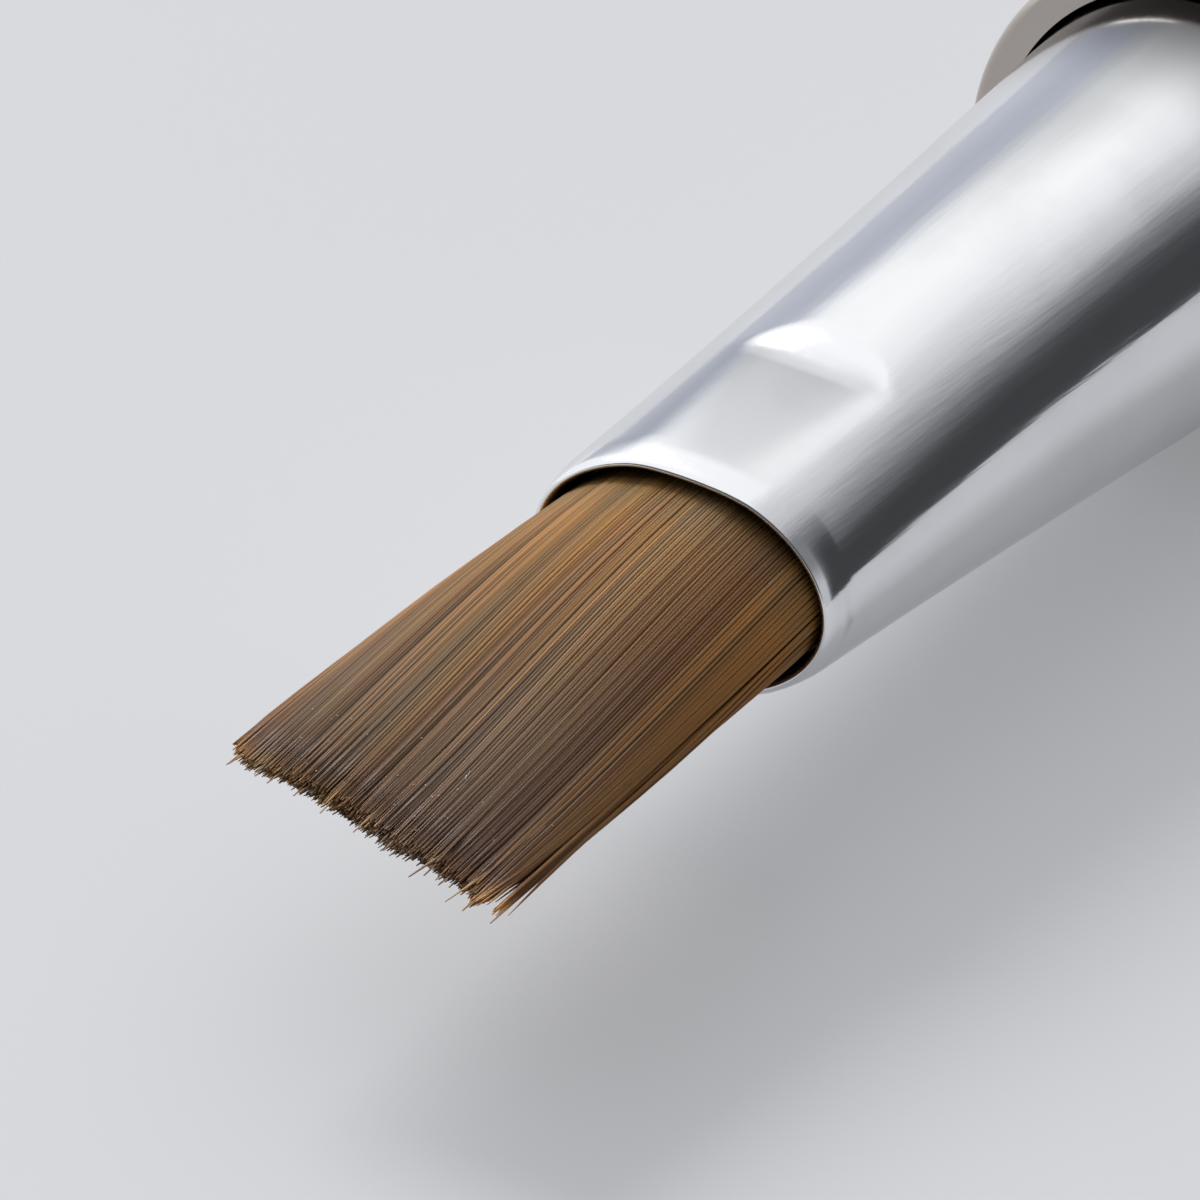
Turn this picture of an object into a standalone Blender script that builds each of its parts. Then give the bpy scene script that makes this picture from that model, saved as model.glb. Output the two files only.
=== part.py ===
"""Lip brush: a flat hair tuft in a pressed aluminium ferrule on a metal-sleeved handle.

The brush lies along X with the hair at +X, its flat faces up and down.
The handle rests on Z = 0 and the origin is under the middle of the brush.
All sizes are in metres.
"""
import math
import random

import bmesh
import bpy
from mathutils import Vector

for old in list(bpy.data.objects):
    bpy.data.objects.remove(old, do_unlink=True)

# Hair tuft
HAIR_LENGTH = 0.01085
STRAY_REACH = 0.00065
HAIR_MID_HALF_WIDTH = 0.00288
HAIR_MID_HALF_HEIGHT = 0.00160
HAIR_TIP_HALF_WIDTH = 0.00280
HAIR_TIP_HALF_HEIGHT = 0.00030
LOCK_PITCH = 0.00095
LOCK_SWAY = 0.00009
MOUTH_RECESS = 0.0012
ROOT_LENGTH = 0.0100

# Binding thread round the waist of the root
THREAD_DIAMETER = 0.00030
THREAD_TURN_GAP = 0.00045
WAIST_DEPTH = 0.00040
WAIST_END_LAND = 0.0010

# Resin behind the root
RESIN_LENGTH = 0.0025

# Ferrule
FERRULE_EXPOSED = 0.0204
FERRULE_SKIRT = 0.0080
FERRULE_WALL = 0.00030
FERRULE_REAR_RADIUS = 0.00408
OVAL_LENGTH = 0.0150
PRESS_LENGTH = 0.0034
CREASE_ROUNDING = 0.00045
MOUTH_HALF_WIDTH = 0.00313
MOUTH_HALF_HEIGHT = 0.00223
LIP_BEAD_HEIGHT = 0.00004
LIP_BEAD_LENGTH = 0.00090
LIP_NOSE_LENGTH = 0.00036

# Cement between tenon and ferrule
CEMENT_THICKNESS = 0.00020
CEMENT_LENGTH = 0.0100

# Handle sleeve
SLEEVE_RADIUS = 0.0049
SLEEVE_WALL = 0.00055
SLEEVE_LENGTH = 0.1028
SHOULDER_LENGTH = 0.00030
SHOULDER_FRONT_EDGE = 0.00045
SHOULDER_BORE_LENGTH = 0.0012
SLEEVE_REAR_CHAMFER = 0.00015

# Tail cap
TAIL_LENGTH = 0.0036
TAIL_FACE_RADIUS = 0.0031
TAIL_STEM_LENGTH = 0.0060
TAIL_SEAM_CHAMFER = 0.00020
STEM_LEAD_IN = 0.00040

# Fits
FIT_CLEARANCE = 0.00010
END_CLEARANCE = 0.00030
WELD_DISTANCE = 0.000001
EDGE_EASE = 0.00030

# Counts, shares and angles
SECTORS = 6
TUFT_RINGS = 8
SEGMENTS = SECTORS * TUFT_RINGS
STRAY_POWER = 9
THREAD_TURNS = 4
THREAD_TURN_POINTS = 24
ROUNDING_STEPS = 7
LIP_STEPS = 8
FLAT_COLUMNS = 3.5
STRAND_ROOT_SHARE = 0.90
STRAND_MID_SHARE = 0.80
STRAND_TIP_SHARE = 0.40
HAIR_FLAT_SHARE = 0.96
CREASE_FLAT_SHARE = 0.915
MOUTH_FLAT_SHARE = 0.985
ROUND_FLAT_SHARE = 0.995
HAIR_MID_REACH_SHARE = 0.45
BEAD_RISE_SHARES = ((0.0, 0.0), (0.35, 0.25), (0.70, 0.75))
SHARP_ANGLE = math.radians(28)

STEP_ANGLE = 2 * math.pi / SEGMENTS
FLAT_SECTOR = FLAT_COLUMNS * STEP_ANGLE
ANGLES = [(column + 0.5) * STEP_ANGLE for column in range(SEGMENTS)]

# Places along the brush, measured from the ferrule mouth
CREASE_X = -PRESS_LENGTH
CREASE_BACK_X = CREASE_X - CREASE_ROUNDING
JUNCTION_X = -FERRULE_EXPOSED
FERRULE_REAR_X = JUNCTION_X - FERRULE_SKIRT
ROOT_FRONT_X = -MOUTH_RECESS
ROOT_BACK_X = ROOT_FRONT_X - ROOT_LENGTH
RESIN_FRONT_X = ROOT_BACK_X - END_CLEARANCE
RESIN_BACK_X = RESIN_FRONT_X - RESIN_LENGTH
TENON_FRONT_X = RESIN_BACK_X - END_CLEARANCE
CEMENT_BACK_X = FERRULE_REAR_X + EDGE_EASE
CEMENT_FRONT_X = CEMENT_BACK_X + CEMENT_LENGTH
CORE_STEP_X = FERRULE_REAR_X - END_CLEARANCE
SLEEVE_REAR_X = JUNCTION_X - SLEEVE_LENGTH
SLEEVE_BORE = SLEEVE_RADIUS - SLEEVE_WALL
SHOULDER_BORE = FERRULE_REAR_RADIUS + FIT_CLEARANCE
STEM_FRONT_X = SLEEVE_REAR_X + TAIL_STEM_LENGTH
CORE_REAR_X = STEM_FRONT_X + END_CLEARANCE
TAIL_X = SLEEVE_REAR_X - FIT_CLEARANCE - TAIL_LENGTH
AXIS_HEIGHT = SLEEVE_RADIUS * math.cos(STEP_ANGLE / 2)
MIDDLE_X = (HAIR_LENGTH + STRAY_REACH + TAIL_X) / 2


def blend(low, high, share):
    return low + (high - low) * share


def principled(name, colour, metallic, roughness):
    material = bpy.data.materials.new(name)
    material.use_nodes = True
    shader = material.node_tree.nodes["Principled BSDF"]
    shader.inputs["Base Color"].default_value = (*colour, 1.0)
    shader.inputs["Metallic"].default_value = metallic
    shader.inputs["Roughness"].default_value = roughness
    return material


def circle_point(angle, radius):
    return Vector((radius * math.cos(angle), radius * math.sin(angle)))


def pressed_point(angle, half_width, half_height, flat_share):
    """Point of an oval whose top and bottom are pressed flat at a share of its half height."""
    side = math.copysign(1, math.cos(angle))
    face = math.copysign(1, math.sin(angle))
    folded = math.atan2(abs(math.sin(angle)), abs(math.cos(angle)))
    flat_start = math.pi / 2 - FLAT_SECTOR
    flat_turn = math.asin(flat_share)
    if folded > flat_start:
        across = half_width * math.cos(flat_turn) * (math.pi / 2 - folded) / FLAT_SECTOR
        return Vector((side * across, face * half_height * flat_share))
    turn = folded / flat_start * flat_turn
    return Vector((side * half_width * math.cos(turn), face * half_height * math.sin(turn)))


def ferrule_radius(x):
    """Mean outer radius: a straight skirt, then an even taper to the mouth."""
    mouth_radius = math.sqrt(MOUTH_HALF_WIDTH * MOUTH_HALF_HEIGHT)
    along = (x - JUNCTION_X) / -JUNCTION_X
    return blend(FERRULE_REAR_RADIUS, mouth_radius, min(max(along, 0), 1))


def ferrule_half_sizes(x):
    """Half width and half height: round at the back, turning gradually oval to the mouth."""
    turned_oval = min(max((x + OVAL_LENGTH) / OVAL_LENGTH, 0), 1) ** 2
    stretch = (MOUTH_HALF_WIDTH / MOUTH_HALF_HEIGHT) ** (turned_oval / 2)
    radius = ferrule_radius(x)
    return radius * stretch, radius / stretch


def ferrule_flat_share(x):
    """How far up the section its top is pressed flat: only ahead of the crease."""
    if x <= CREASE_BACK_X:
        return ROUND_FLAT_SHARE
    if x <= CREASE_X:
        return blend(ROUND_FLAT_SHARE, CREASE_FLAT_SHARE, (x - CREASE_BACK_X) / CREASE_ROUNDING)
    return blend(CREASE_FLAT_SHARE, MOUTH_FLAT_SHARE, min((x - CREASE_X) / PRESS_LENGTH, 1))


def ferrule_point(x, angle):
    """Outer wall of the ferrule without its lip bead."""
    half_width, half_height = ferrule_half_sizes(x)
    if x <= -OVAL_LENGTH:
        return circle_point(angle, half_width)
    return pressed_point(angle, half_width, half_height, ferrule_flat_share(x))


def ferrule_ring(x, offset):
    """One closed ring of points beside the ferrule's wall, offset square to the section."""
    points = [ferrule_point(x, angle) for angle in ANGLES]
    ring = []
    for column, point in enumerate(points):
        tangent = points[(column + 1) % SEGMENTS] - points[column - 1]
        normal = Vector((tangent.y, -tangent.x)).normalized()
        moved = point + normal * offset
        ring.append(Vector((x, moved.x, moved.y)))
    return ring


def turned_ring(x, radius):
    return [Vector((x, *circle_point(angle, radius))) for angle in ANGLES]


def add_ring(mesh, ring):
    return [mesh.verts.new(point) for point in ring]


def bridge(mesh, first, second):
    """Faces between two rings of the same number of points."""
    for column in range(len(first)):
        after = (column + 1) % len(first)
        mesh.faces.new((first[column], second[column], second[after], first[after]))


def finish_object(mesh, name, material):
    """Turn a mesh into a named, smooth-shaded object on the brush's carrier."""
    bmesh.ops.recalc_face_normals(mesh, faces=mesh.faces)
    data = bpy.data.meshes.new(name)
    mesh.to_mesh(data)
    mesh.free()
    data.shade_smooth()
    data.set_sharp_from_angle(angle=SHARP_ANGLE)
    data.materials.append(material)
    thing = bpy.data.objects.new(name, data)
    bpy.context.collection.objects.link(thing)
    thing.parent = carrier
    return thing


def loft(name, rings, material, hollow):
    """Skin a row of rings: a tube closed on itself, or a solid with an end face each side."""
    mesh = bmesh.new()
    loops = [add_ring(mesh, ring) for ring in rings]
    for first, second in zip(loops, loops[1:]):
        bridge(mesh, first, second)
    if hollow:
        bridge(mesh, loops[-1], loops[0])
    else:
        mesh.faces.new(loops[0])
        mesh.faces.new(loops[-1])
    return finish_object(mesh, name, material)


def turn(name, profile, material):
    """Spin a profile of (x, radius) points round the brush's axis; radius 0 closes an end."""
    mesh = bmesh.new()
    start = ANGLES[0]
    verts = []
    for x, radius in profile:
        verts.append(mesh.verts.new(Vector((x, *circle_point(start, radius)))))
    edges = [mesh.edges.new(pair) for pair in zip(verts, verts[1:])]
    if profile[0][1] > 0:
        edges.append(mesh.edges.new((verts[-1], verts[0])))
    bmesh.ops.spin(
        mesh,
        geom=verts + edges,
        cent=Vector((0, 0, 0)),
        axis=Vector((1, 0, 0)),
        angle=2 * math.pi,
        steps=SEGMENTS,
        use_merge=True,
    )
    bmesh.ops.remove_doubles(mesh, verts=mesh.verts, dist=WELD_DISTANCE)
    return finish_object(mesh, name, material)


# The carrier lifts the brush's axis to the handle's radius and centres its length
carrier = bpy.data.objects.new("brush_axis", None)
carrier.location = (-MIDDLE_X, 0, AXIS_HEIGHT)
bpy.context.collection.objects.link(carrier)

aluminium = principled("ferrule_aluminium", (0.80, 0.81, 0.83), 1.0, 0.24)
rose_gold = principled("sleeve_rose_gold", (0.80, 0.60, 0.47), 1.0, 0.16)
tail_gold = principled("tail_rose_gold", (0.80, 0.60, 0.47), 1.0, 0.22)
hair_brown = principled("hair_golden_brown", (0.30, 0.17, 0.075), 0.0, 0.42)
thread_linen = principled("thread_linen", (0.74, 0.68, 0.56), 0.0, 0.80)
resin_amber = principled("resin_amber", (0.52, 0.33, 0.12), 0.0, 0.25)
cement_cream = principled("cement_cream", (0.80, 0.74, 0.60), 0.0, 0.60)
core_birch = principled("core_birch", (0.76, 0.60, 0.40), 0.0, 0.65)


# Ferrule: drawn tube, round and tapering, pressed flat above and below the mouth
LIP_RADIUS = (FERRULE_WALL + LIP_BEAD_HEIGHT) / 2


def wall_stations():
    """Places along the ferrule where its wall changes direction, rear to front."""
    return [
        FERRULE_REAR_X,
        JUNCTION_X,
        -OVAL_LENGTH,
        blend(-OVAL_LENGTH, CREASE_BACK_X, 0.25),
        blend(-OVAL_LENGTH, CREASE_BACK_X, 0.5),
        blend(-OVAL_LENGTH, CREASE_BACK_X, 0.75),
        CREASE_BACK_X,
        blend(CREASE_BACK_X, CREASE_X, 0.5),
        CREASE_X,
        blend(CREASE_X, -LIP_BEAD_LENGTH, 0.5),
    ]


def build_ferrule():
    rings = [ferrule_ring(x, 0) for x in wall_stations()]
    for along, rise in BEAD_RISE_SHARES:
        x = blend(-LIP_BEAD_LENGTH, -LIP_NOSE_LENGTH, along)
        rings.append(ferrule_ring(x, LIP_BEAD_HEIGHT * rise))
    for step in range(LIP_STEPS + 1):
        turn_angle = math.pi / 2 - math.pi * step / LIP_STEPS
        x = LIP_NOSE_LENGTH * (math.cos(turn_angle) - 1)
        offset = LIP_BEAD_HEIGHT - LIP_RADIUS + LIP_RADIUS * math.sin(turn_angle)
        rings.append(ferrule_ring(x, offset))
    for x in reversed(wall_stations()):
        rings.append(ferrule_ring(x, -FERRULE_WALL))
    return loft("ferrule", rings, aluminium, hollow=True)


build_ferrule()


# Hair tuft: strands fused to the front of the bonded root that fills the ferrule's mouth
WAIST_LENGTH = THREAD_TURNS * (THREAD_DIAMETER + THREAD_TURN_GAP) + THREAD_DIAMETER + 2 * END_CLEARANCE
WAIST_BACK_X = ROOT_BACK_X + WAIST_END_LAND
WAIST_FRONT_X = WAIST_BACK_X + WAIST_LENGTH
WAIST_RADIUS = ferrule_half_sizes(WAIST_FRONT_X)[1] - FERRULE_WALL - FIT_CLEARANCE - WAIST_DEPTH


def hair_point(station, corner):
    """A corner of the tuft's cells at a station: root face, middle or tip."""
    ring, place = corner
    angle = ANGLES[0] + STEP_ANGLE * TUFT_RINGS * place / max(ring, 1)
    if station == "root":
        edge = ferrule_ring_point(ROOT_FRONT_X, angle, -FERRULE_WALL - FIT_CLEARANCE)
    elif station == "middle":
        edge = pressed_point(angle, HAIR_MID_HALF_WIDTH, HAIR_MID_HALF_HEIGHT, HAIR_FLAT_SHARE)
    else:
        edge = pressed_point(angle, HAIR_TIP_HALF_WIDTH, HAIR_TIP_HALF_HEIGHT, HAIR_FLAT_SHARE)
    return edge * ring / TUFT_RINGS


def ferrule_ring_point(x, angle, offset):
    """Point offset from the wall at any angle."""
    before = ferrule_point(x, angle - STEP_ANGLE)
    after = ferrule_point(x, angle + STEP_ANGLE)
    normal = Vector(((after - before).y, -(after - before).x)).normalized()
    return ferrule_point(x, angle) + normal * offset


def tuft_cells():
    """Triangles of a disc of rings; each corner is its ring and its place round that ring."""
    def corner(ring, sector, place):
        return (ring, (sector * ring + place) % max(SECTORS * ring, 1))

    cells = []
    for sector in range(SECTORS):
        for ring in range(1, TUFT_RINGS + 1):
            for place in range(ring):
                inner = corner(ring - 1, sector, place)
                left = corner(ring, sector, place)
                right = corner(ring, sector, place + 1)
                cells.append((inner, left, right))
                if place < ring - 1:
                    cells.append((inner, right, corner(ring - 1, sector, place + 1)))
    return cells


def strand_corners(cell, station, share, x):
    """The three corners of one strand at a station, drawn in towards its own middle."""
    points = [hair_point(station, corner) for corner in cell]
    middle = sum(points, Vector((0, 0))) / len(points)
    sway = 0
    if station == "tip":
        sway = LOCK_SWAY * math.sin(2 * math.pi * middle.x / LOCK_PITCH)
    corners = []
    for point in points:
        drawn = middle + (point - middle) * share
        corners.append(Vector((x, drawn.x + sway, drawn.y)))
    return corners


def build_tuft():
    mesh = bmesh.new()
    cells = tuft_cells()
    draw = random.Random(7)
    lengths = [draw.random() ** STRAY_POWER for _ in cells]
    longest = max(lengths)
    ends = [HAIR_LENGTH + STRAY_REACH * length / longest for length in lengths]
    face_verts = {}
    for cell in cells:
        for corner in cell:
            if corner not in face_verts:
                point = hair_point("root", corner)
                face_verts[corner] = mesh.verts.new(Vector((ROOT_FRONT_X, point.x, point.y)))
    middle_x = HAIR_LENGTH * HAIR_MID_REACH_SHARE
    for cell, end in zip(cells, ends):
        row = [face_verts[corner] for corner in cell]
        for station, share, x in (
            ("root", STRAND_ROOT_SHARE, ROOT_FRONT_X),
            ("middle", STRAND_MID_SHARE, middle_x),
            ("tip", STRAND_TIP_SHARE, end),
        ):
            following = add_ring(mesh, strand_corners(cell, station, share, x))
            bridge(mesh, row, following)
            row = following
        mesh.faces.new(row)
    outer = [face_verts[(TUFT_RINGS, place)] for place in range(SEGMENTS)]
    for x, radius in root_profile():
        if radius:
            ring = turned_ring(x, radius)
        else:
            ring = ferrule_ring(x, -FERRULE_WALL - FIT_CLEARANCE)
        following = add_ring(mesh, ring)
        bridge(mesh, outer, following)
        outer = following
    mesh.faces.new(outer)
    return finish_object(mesh, "hair_tuft", hair_brown)


def root_profile():
    """Rings of the bonded root, front to back: radius 0 follows the ferrule's wall."""
    return [
        (CREASE_X, 0),
        (blend(CREASE_BACK_X, CREASE_X, 0.5), 0),
        (CREASE_BACK_X, 0),
        (WAIST_FRONT_X, 0),
        (WAIST_FRONT_X, WAIST_RADIUS),
        (WAIST_BACK_X, WAIST_RADIUS),
        (WAIST_BACK_X, 0),
        (ROOT_BACK_X, 0),
    ]


build_tuft()


# Binding thread: one unbroken helix in the waist of the root
def build_thread():
    radius = WAIST_RADIUS + FIT_CLEARANCE + THREAD_DIAMETER / 2
    pitch = THREAD_DIAMETER + THREAD_TURN_GAP
    middle_x = (WAIST_FRONT_X + WAIST_BACK_X) / 2
    count = THREAD_TURNS * THREAD_TURN_POINTS
    curve = bpy.data.curves.new("knot_thread", "CURVE")
    curve.dimensions = "3D"
    curve.bevel_depth = THREAD_DIAMETER / 2
    curve.bevel_resolution = 1
    curve.use_fill_caps = True
    spline = curve.splines.new("POLY")
    spline.points.add(count)
    points = []
    for place in range(count + 1):
        turns = place / THREAD_TURN_POINTS
        x = middle_x + pitch * (turns - THREAD_TURNS / 2)
        points.append(Vector((x, *circle_point(2 * math.pi * turns, radius))))
        spline.points[place].co = (*points[-1], 1.0)
    least = min(
        (points[first] - points[second]).length
        for first in range(count + 1)
        for second in range(first + THREAD_TURN_POINTS // 2, count + 1)
    )
    print("least gap of the thread to itself: %.6f m" % (least - THREAD_DIAMETER))
    curve.materials.append(thread_linen)
    thread = bpy.data.objects.new("knot_thread", curve)
    bpy.context.collection.objects.link(thread)
    thread.parent = carrier


build_thread()


# Resin plug: cast in the ferrule behind the root
def build_resin():
    offset = -FERRULE_WALL - FIT_CLEARANCE
    rings = [ferrule_ring(RESIN_BACK_X, offset), ferrule_ring(RESIN_FRONT_X, offset)]
    return loft("root_resin", rings, resin_amber, hollow=False)


build_resin()


# Tenon cement: the set ring of glue that holds the ferrule on the core's tenon
def tenon_radius(x):
    return ferrule_radius(x) - FERRULE_WALL - 2 * FIT_CLEARANCE - CEMENT_THICKNESS


def build_cement():
    inner_gap = -FERRULE_WALL - FIT_CLEARANCE
    stations = (CEMENT_BACK_X, JUNCTION_X, CEMENT_FRONT_X)
    rings = [ferrule_ring(x, inner_gap) for x in stations]
    rings += [ferrule_ring(x, inner_gap - CEMENT_THICKNESS) for x in reversed(stations)]
    return loft("tenon_cement", rings, cement_cream, hollow=True)


build_cement()


# Handle core: turned birch rod whose tenon goes into the ferrule
def build_core():
    core_radius = SLEEVE_BORE - FIT_CLEARANCE
    profile = [
        (TENON_FRONT_X, 0),
        (TENON_FRONT_X, tenon_radius(TENON_FRONT_X) - EDGE_EASE),
        (TENON_FRONT_X - EDGE_EASE, tenon_radius(TENON_FRONT_X - EDGE_EASE)),
        (JUNCTION_X, tenon_radius(JUNCTION_X)),
        (CORE_STEP_X, tenon_radius(CORE_STEP_X)),
        (CORE_STEP_X, core_radius - EDGE_EASE),
        (CORE_STEP_X - EDGE_EASE, core_radius),
        (CORE_REAR_X + EDGE_EASE, core_radius),
        (CORE_REAR_X, core_radius - EDGE_EASE),
        (CORE_REAR_X, 0),
    ]
    return turn("handle_core", profile, core_birch)


build_core()


# Handle sleeve: drawn metal tube, its flat front face turned in to the ferrule
def build_sleeve():
    shoulder_foot = SHOULDER_BORE + SHOULDER_FRONT_EDGE
    profile = []
    for step in range(ROUNDING_STEPS + 1):
        sweep = math.pi / 2 * step / ROUNDING_STEPS
        x = JUNCTION_X - SHOULDER_LENGTH * (1 - math.cos(sweep))
        profile.append((x, shoulder_foot + (SLEEVE_RADIUS - shoulder_foot) * math.sin(sweep)))
    bore_start_x = JUNCTION_X - SHOULDER_BORE_LENGTH
    profile += [
        (SLEEVE_REAR_X + SLEEVE_REAR_CHAMFER, SLEEVE_RADIUS),
        (SLEEVE_REAR_X, SLEEVE_RADIUS - SLEEVE_REAR_CHAMFER),
        (SLEEVE_REAR_X, SLEEVE_BORE),
        (bore_start_x - EDGE_EASE, SLEEVE_BORE),
        (bore_start_x, SHOULDER_BORE),
        (JUNCTION_X, SHOULDER_BORE),
    ]
    return turn("handle_sleeve", profile, rose_gold)


build_sleeve()


# Tail cap: solid plug with a domed edge and a flat end, its stem pressed into the sleeve
def build_tail():
    stem_radius = SLEEVE_BORE - FIT_CLEARANCE
    head_front_x = SLEEVE_REAR_X - FIT_CLEARANCE
    dome_start_x = head_front_x - TAIL_SEAM_CHAMFER
    profile = [
        (STEM_FRONT_X, 0),
        (STEM_FRONT_X, stem_radius - STEM_LEAD_IN),
        (STEM_FRONT_X - STEM_LEAD_IN, stem_radius),
        (head_front_x, stem_radius),
        (head_front_x, SLEEVE_RADIUS - TAIL_SEAM_CHAMFER),
    ]
    for step in range(ROUNDING_STEPS + 1):
        sweep = math.pi / 2 * step / ROUNDING_STEPS
        x = dome_start_x - (dome_start_x - TAIL_X) * math.sin(sweep)
        profile.append((x, TAIL_FACE_RADIUS + (SLEEVE_RADIUS - TAIL_FACE_RADIUS) * math.cos(sweep)))
    profile.append((TAIL_X, 0))
    return turn("tail_cap", profile, tail_gold)


build_tail()
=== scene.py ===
"""Dressed view of a lip brush: flat hair tuft, aluminium ferrule and metal-sleeved handle."""
import math
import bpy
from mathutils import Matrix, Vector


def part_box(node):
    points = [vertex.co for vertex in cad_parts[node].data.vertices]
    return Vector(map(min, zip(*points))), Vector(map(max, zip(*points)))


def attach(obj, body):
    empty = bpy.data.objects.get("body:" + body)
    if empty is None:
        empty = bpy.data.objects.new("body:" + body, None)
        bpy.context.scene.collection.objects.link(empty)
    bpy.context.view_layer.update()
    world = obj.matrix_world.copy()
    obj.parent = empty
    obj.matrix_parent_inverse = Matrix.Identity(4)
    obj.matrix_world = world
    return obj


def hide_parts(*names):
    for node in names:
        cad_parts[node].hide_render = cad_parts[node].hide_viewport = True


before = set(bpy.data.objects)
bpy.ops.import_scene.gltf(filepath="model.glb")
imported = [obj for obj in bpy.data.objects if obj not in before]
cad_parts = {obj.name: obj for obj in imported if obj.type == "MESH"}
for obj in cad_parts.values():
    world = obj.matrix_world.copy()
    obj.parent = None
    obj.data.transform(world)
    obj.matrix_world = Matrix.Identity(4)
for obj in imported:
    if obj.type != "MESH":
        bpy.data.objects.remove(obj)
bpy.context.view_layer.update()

from types import SimpleNamespace

import bmesh
import bpy
import numpy as np
from mathutils import Matrix, Vector

# Studio
# The brush lies on a sheet of pale paper. The camera looks down on the hair from in front,
# and one wide soft window of light stands behind the handle, to the left of the camera.
PAPER_REACH = 1.5
PAPER_COLOUR = (0.358, 0.362, 0.373)
PAPER_CLOUD = 0.985
PAPER_GLOW = (0.252, 0.255, 0.264)
PAPER_MIRRORED = 0.80
BACKDROP = (0.67, 0.68, 0.70)
# Places along the brush are measured from the ferrule's mouth, heights from the brush's axis
MOUTH_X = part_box("ferrule")[1][0]
AXIS_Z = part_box("handle_sleeve")[1][2] / 2
CAMERA_AZIMUTH = math.radians(26.696)
CAMERA_ELEVATION = math.radians(29.0)
CAMERA_ROLL = math.radians(6.874)
CAMERA_DISTANCE = 0.150
TARGET_AHEAD = 0.0015792
TARGET_ASIDE = -0.0006954
LENS_LENGTH = 254.78
SENSOR_WIDTH = 36
CLIP_START = 0.001
CLIP_END = 20
# Light of the room round the brush's axis: degrees from straight up towards +Y, then colour
ROOM_LEVELS = (
    (-130, (0.58, 0.605, 0.66)),
    (-102, (0.53, 0.555, 0.615)),
    (-82, (0.50, 0.525, 0.59)),
    (-66, (0.43, 0.455, 0.525)),
    (-57, (0.46, 0.485, 0.55)),
    (-51, (0.70, 0.72, 0.76)),
    (-44, (0.93, 0.94, 0.96)),
    (-36, (1.00, 1.00, 1.00)),
    (-8, (1.00, 1.00, 1.00)),
    (3, (0.93, 0.935, 0.94)),
    (14, (0.84, 0.845, 0.86)),
    (22, (0.68, 0.685, 0.70)),
    (33, (0.55, 0.555, 0.57)),
    (40, (0.34, 0.345, 0.36)),
    (46, (0.19, 0.193, 0.20)),
    (51, (0.15, 0.152, 0.158)),
    (57, (0.070, 0.071, 0.075)),
    (66, (0.048, 0.049, 0.052)),
    (90, (0.048, 0.049, 0.052)),
)
# Edges of the room's panels: the X of a ray's direction, or its turn round the brush in degrees
BAND_SHIFT_X = (-0.722, -0.700)
BAND_SHIFT = 12.0
FAR_DIMMING = (0.615, 0.621, 0.624)
FAR_X = (-0.778, -0.700)
FAR_TURN = (-62.0, -46.0)
FAR_SLANT_Y = -0.36
FAR_SLANT = 0.15
LEFT_PANEL = (0.98, 0.985, 1.0)
LEFT_PANEL_X = (-0.665, -0.53)
LEFT_PANEL_TURN = (-100.0, -45.0)
LEFT_PANEL_LOW_SHARE = 0.85
RIGHT_PANEL = (0.20, 0.205, 0.215)
RIGHT_LOW_PANEL = (0.48, 0.49, 0.51)
RIGHT_PANEL_X = (-0.58, -0.36)
RIGHT_PANEL_TURN = (28.0, 40.0)
RIGHT_LOW_TURN = (50.0, 72.0)
CAMERA_SIDE = (0.090, 0.090, 0.094)
CAMERA_SIDE_X = (0.50, 0.70)
KEY_AZIMUTH = -116
KEY_ELEVATION = 42
KEY_EDGE = 16
KEY_CORE = 11
KEY_STRENGTH = 12.0
ROOM_STRENGTH = 1.06


def direction(azimuth, elevation):
    """Unit vector at an azimuth from +X towards +Y and an elevation above the paper."""
    level = math.cos(elevation)
    return Vector((math.cos(azimuth) * level, math.sin(azimuth) * level, math.sin(elevation)))


def add_camera():
    """Camera with its roll, at the photograph's viewing angle."""
    back = direction(CAMERA_AZIMUTH, CAMERA_ELEVATION)
    level_right = Vector((0, 0, 1)).cross(back).normalized()
    level_up = back.cross(level_right)
    right = level_right * math.cos(CAMERA_ROLL) + level_up * math.sin(CAMERA_ROLL)
    up = level_up * math.cos(CAMERA_ROLL) - level_right * math.sin(CAMERA_ROLL)
    target = Vector((MOUTH_X + TARGET_AHEAD, TARGET_ASIDE, AXIS_Z))
    place = target + back * CAMERA_DISTANCE
    lens = bpy.data.cameras.new("view")
    lens.sensor_width = SENSOR_WIDTH
    lens.lens = LENS_LENGTH
    lens.clip_start = CLIP_START
    lens.clip_end = CLIP_END
    camera = bpy.data.objects.new("view", lens)
    bpy.context.scene.collection.objects.link(camera)
    axes = Matrix((right, up, back)).transposed().to_4x4()
    camera.matrix_world = Matrix.Translation(place) @ axes
    bpy.context.scene.camera = camera


def add_node(tree, kind, feeds=(), **settings):
    """One node with its settings; feeds maps an input to a value or to another node's output."""
    node = tree.nodes.new(kind)
    for key, value in settings.items():
        setattr(node, key, value)
    for place, value in dict(feeds).items():
        if isinstance(value, bpy.types.NodeSocket):
            tree.links.new(value, node.inputs[place])
        else:
            node.inputs[place].default_value = value
    return node


def calculate(tree, operation, *values):
    """A Math node's result."""
    node = add_node(tree, "ShaderNodeMath", dict(enumerate(values)), operation=operation)
    return node.outputs[0]


def smooth_range(tree, value, low, high, out_low=0.0, out_high=1.0):
    """Smooth step of a value between two limits."""
    feeds = {"Value": value, "From Min": low, "From Max": high,
             "To Min": out_low, "To Max": out_high}
    node = add_node(tree, "ShaderNodeMapRange", feeds, interpolation_type="SMOOTHSTEP")
    return node.outputs["Result"]


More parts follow.
